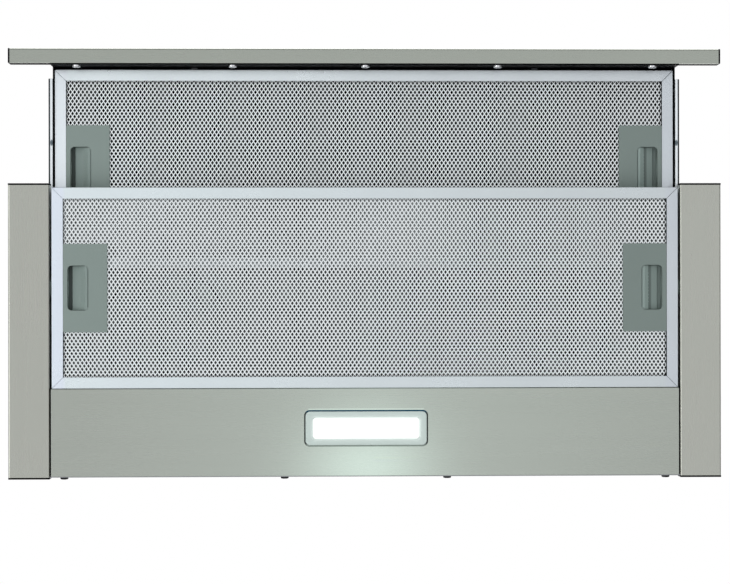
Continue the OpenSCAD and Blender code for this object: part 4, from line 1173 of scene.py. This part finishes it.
light = {
    "below": 0.80, "round": 0.16, "above": 1.0,
    "belowFade": (-0.82, -0.40),      # height of the direction's unit vector
    "aboveFade": (0.15, 0.8),
    "left": {"at": (-2.0, 0.1, -1.35), "size": 1.3, "power": 12},
    "front": {"at": (0.2, -2.2, 1.3), "size": 2.0, "power": 30},
    "top": {"at": (0.4, 0.8, 2.4), "size": 2.0, "power": 30},
}


def layFloor():
    grid = np.linspace(-1, 1, 3) * view["floorHalf"] * mm
    x, y = np.meshgrid(grid, grid)
    z = np.full(x.size, view["floorZ"] * mm)
    faces = [(i, i + 1, i + 4, i + 3) for i in (0, 1, 3, 4)]
    data = bpy.data.meshes.new("floor")
    data.from_pydata(np.stack([x.ravel(), y.ravel(), z], -1).tolist(), [], faces)
    paint = Paint("floorPaper", roughness=0.8)
    cloud = paint.noise(paint.stretched(0.7, 0.7, 0.7), detail=3.0)
    pale = view["floorColour"]
    paint.feed("baseColor", paint.mix(cloud, tuple(c * 0.98 for c in pale), pale))
    data.materials.append(paint.material)
    floor = bpy.data.objects.new("floor", data)
    bpy.context.scene.collection.objects.link(floor)


def hangLights():
    for name in ("left", "front", "top"):
        plan = light[name]
        lampData = bpy.data.lights.new(name + "Soft", "AREA")
        lampData.shape = "SQUARE"
        lampData.size = plan["size"]
        lampData.energy = plan["power"]
        stand = bpy.data.objects.new(name + "Soft", lampData)
        stand.location = plan["at"]
        stand.rotation_euler = (-Vector(plan["at"])).to_track_quat("-Z", "Y").to_euler()
        bpy.context.scene.collection.objects.link(stand)


def lightSky():
    # white behind the hood; for all else a pale field below, a grey room round it and a paler field above
    world = bpy.data.worlds.new("studio")
    bpy.context.scene.world = world
    world.use_nodes = True
    tree = world.node_tree

    def node(kind, settings, *values):
        made = tree.nodes.new(kind)
        for name, value in settings.items():
            setattr(made, name, value)
        for socket, value in zip(made.inputs, values):
            if isinstance(value, bpy.types.NodeSocket):
                tree.links.new(value, socket)
            else:
                socket.default_value = value
        return made

    way = node("ShaderNodeTexCoord", {})
    parts = node("ShaderNodeSeparateXYZ", {}, way.outputs["Generated"])
    smooth = {"interpolation_type": "SMOOTHSTEP"}
    below = node("ShaderNodeMapRange", smooth, parts.outputs["Z"], *light["belowFade"],
                 light["below"], light["round"])
    above = node("ShaderNodeMapRange", smooth, parts.outputs["Z"], *light["aboveFade"],
                 0.0, light["above"] - light["round"])
    strength = node("ShaderNodeMath", {"operation": "ADD"}, below.outputs[0], above.outputs[0])
    room = node("ShaderNodeBackground", {}, (1, 1, 1, 1), strength.outputs[0])
    paper = node("ShaderNodeBackground", {}, (*view["backdrop"], 1), 1.0)
    ray = node("ShaderNodeLightPath", {})
    either = node("ShaderNodeMixShader", {}, ray.outputs["Is Camera Ray"], room.outputs[0], paper.outputs[0])
    tree.links.new(either.outputs[0], tree.nodes["World Output"].inputs["Surface"])


layFloor()
hangLights()
lightSky()
bpy.context.scene.view_settings.view_transform = "Standard"
print("light hung")
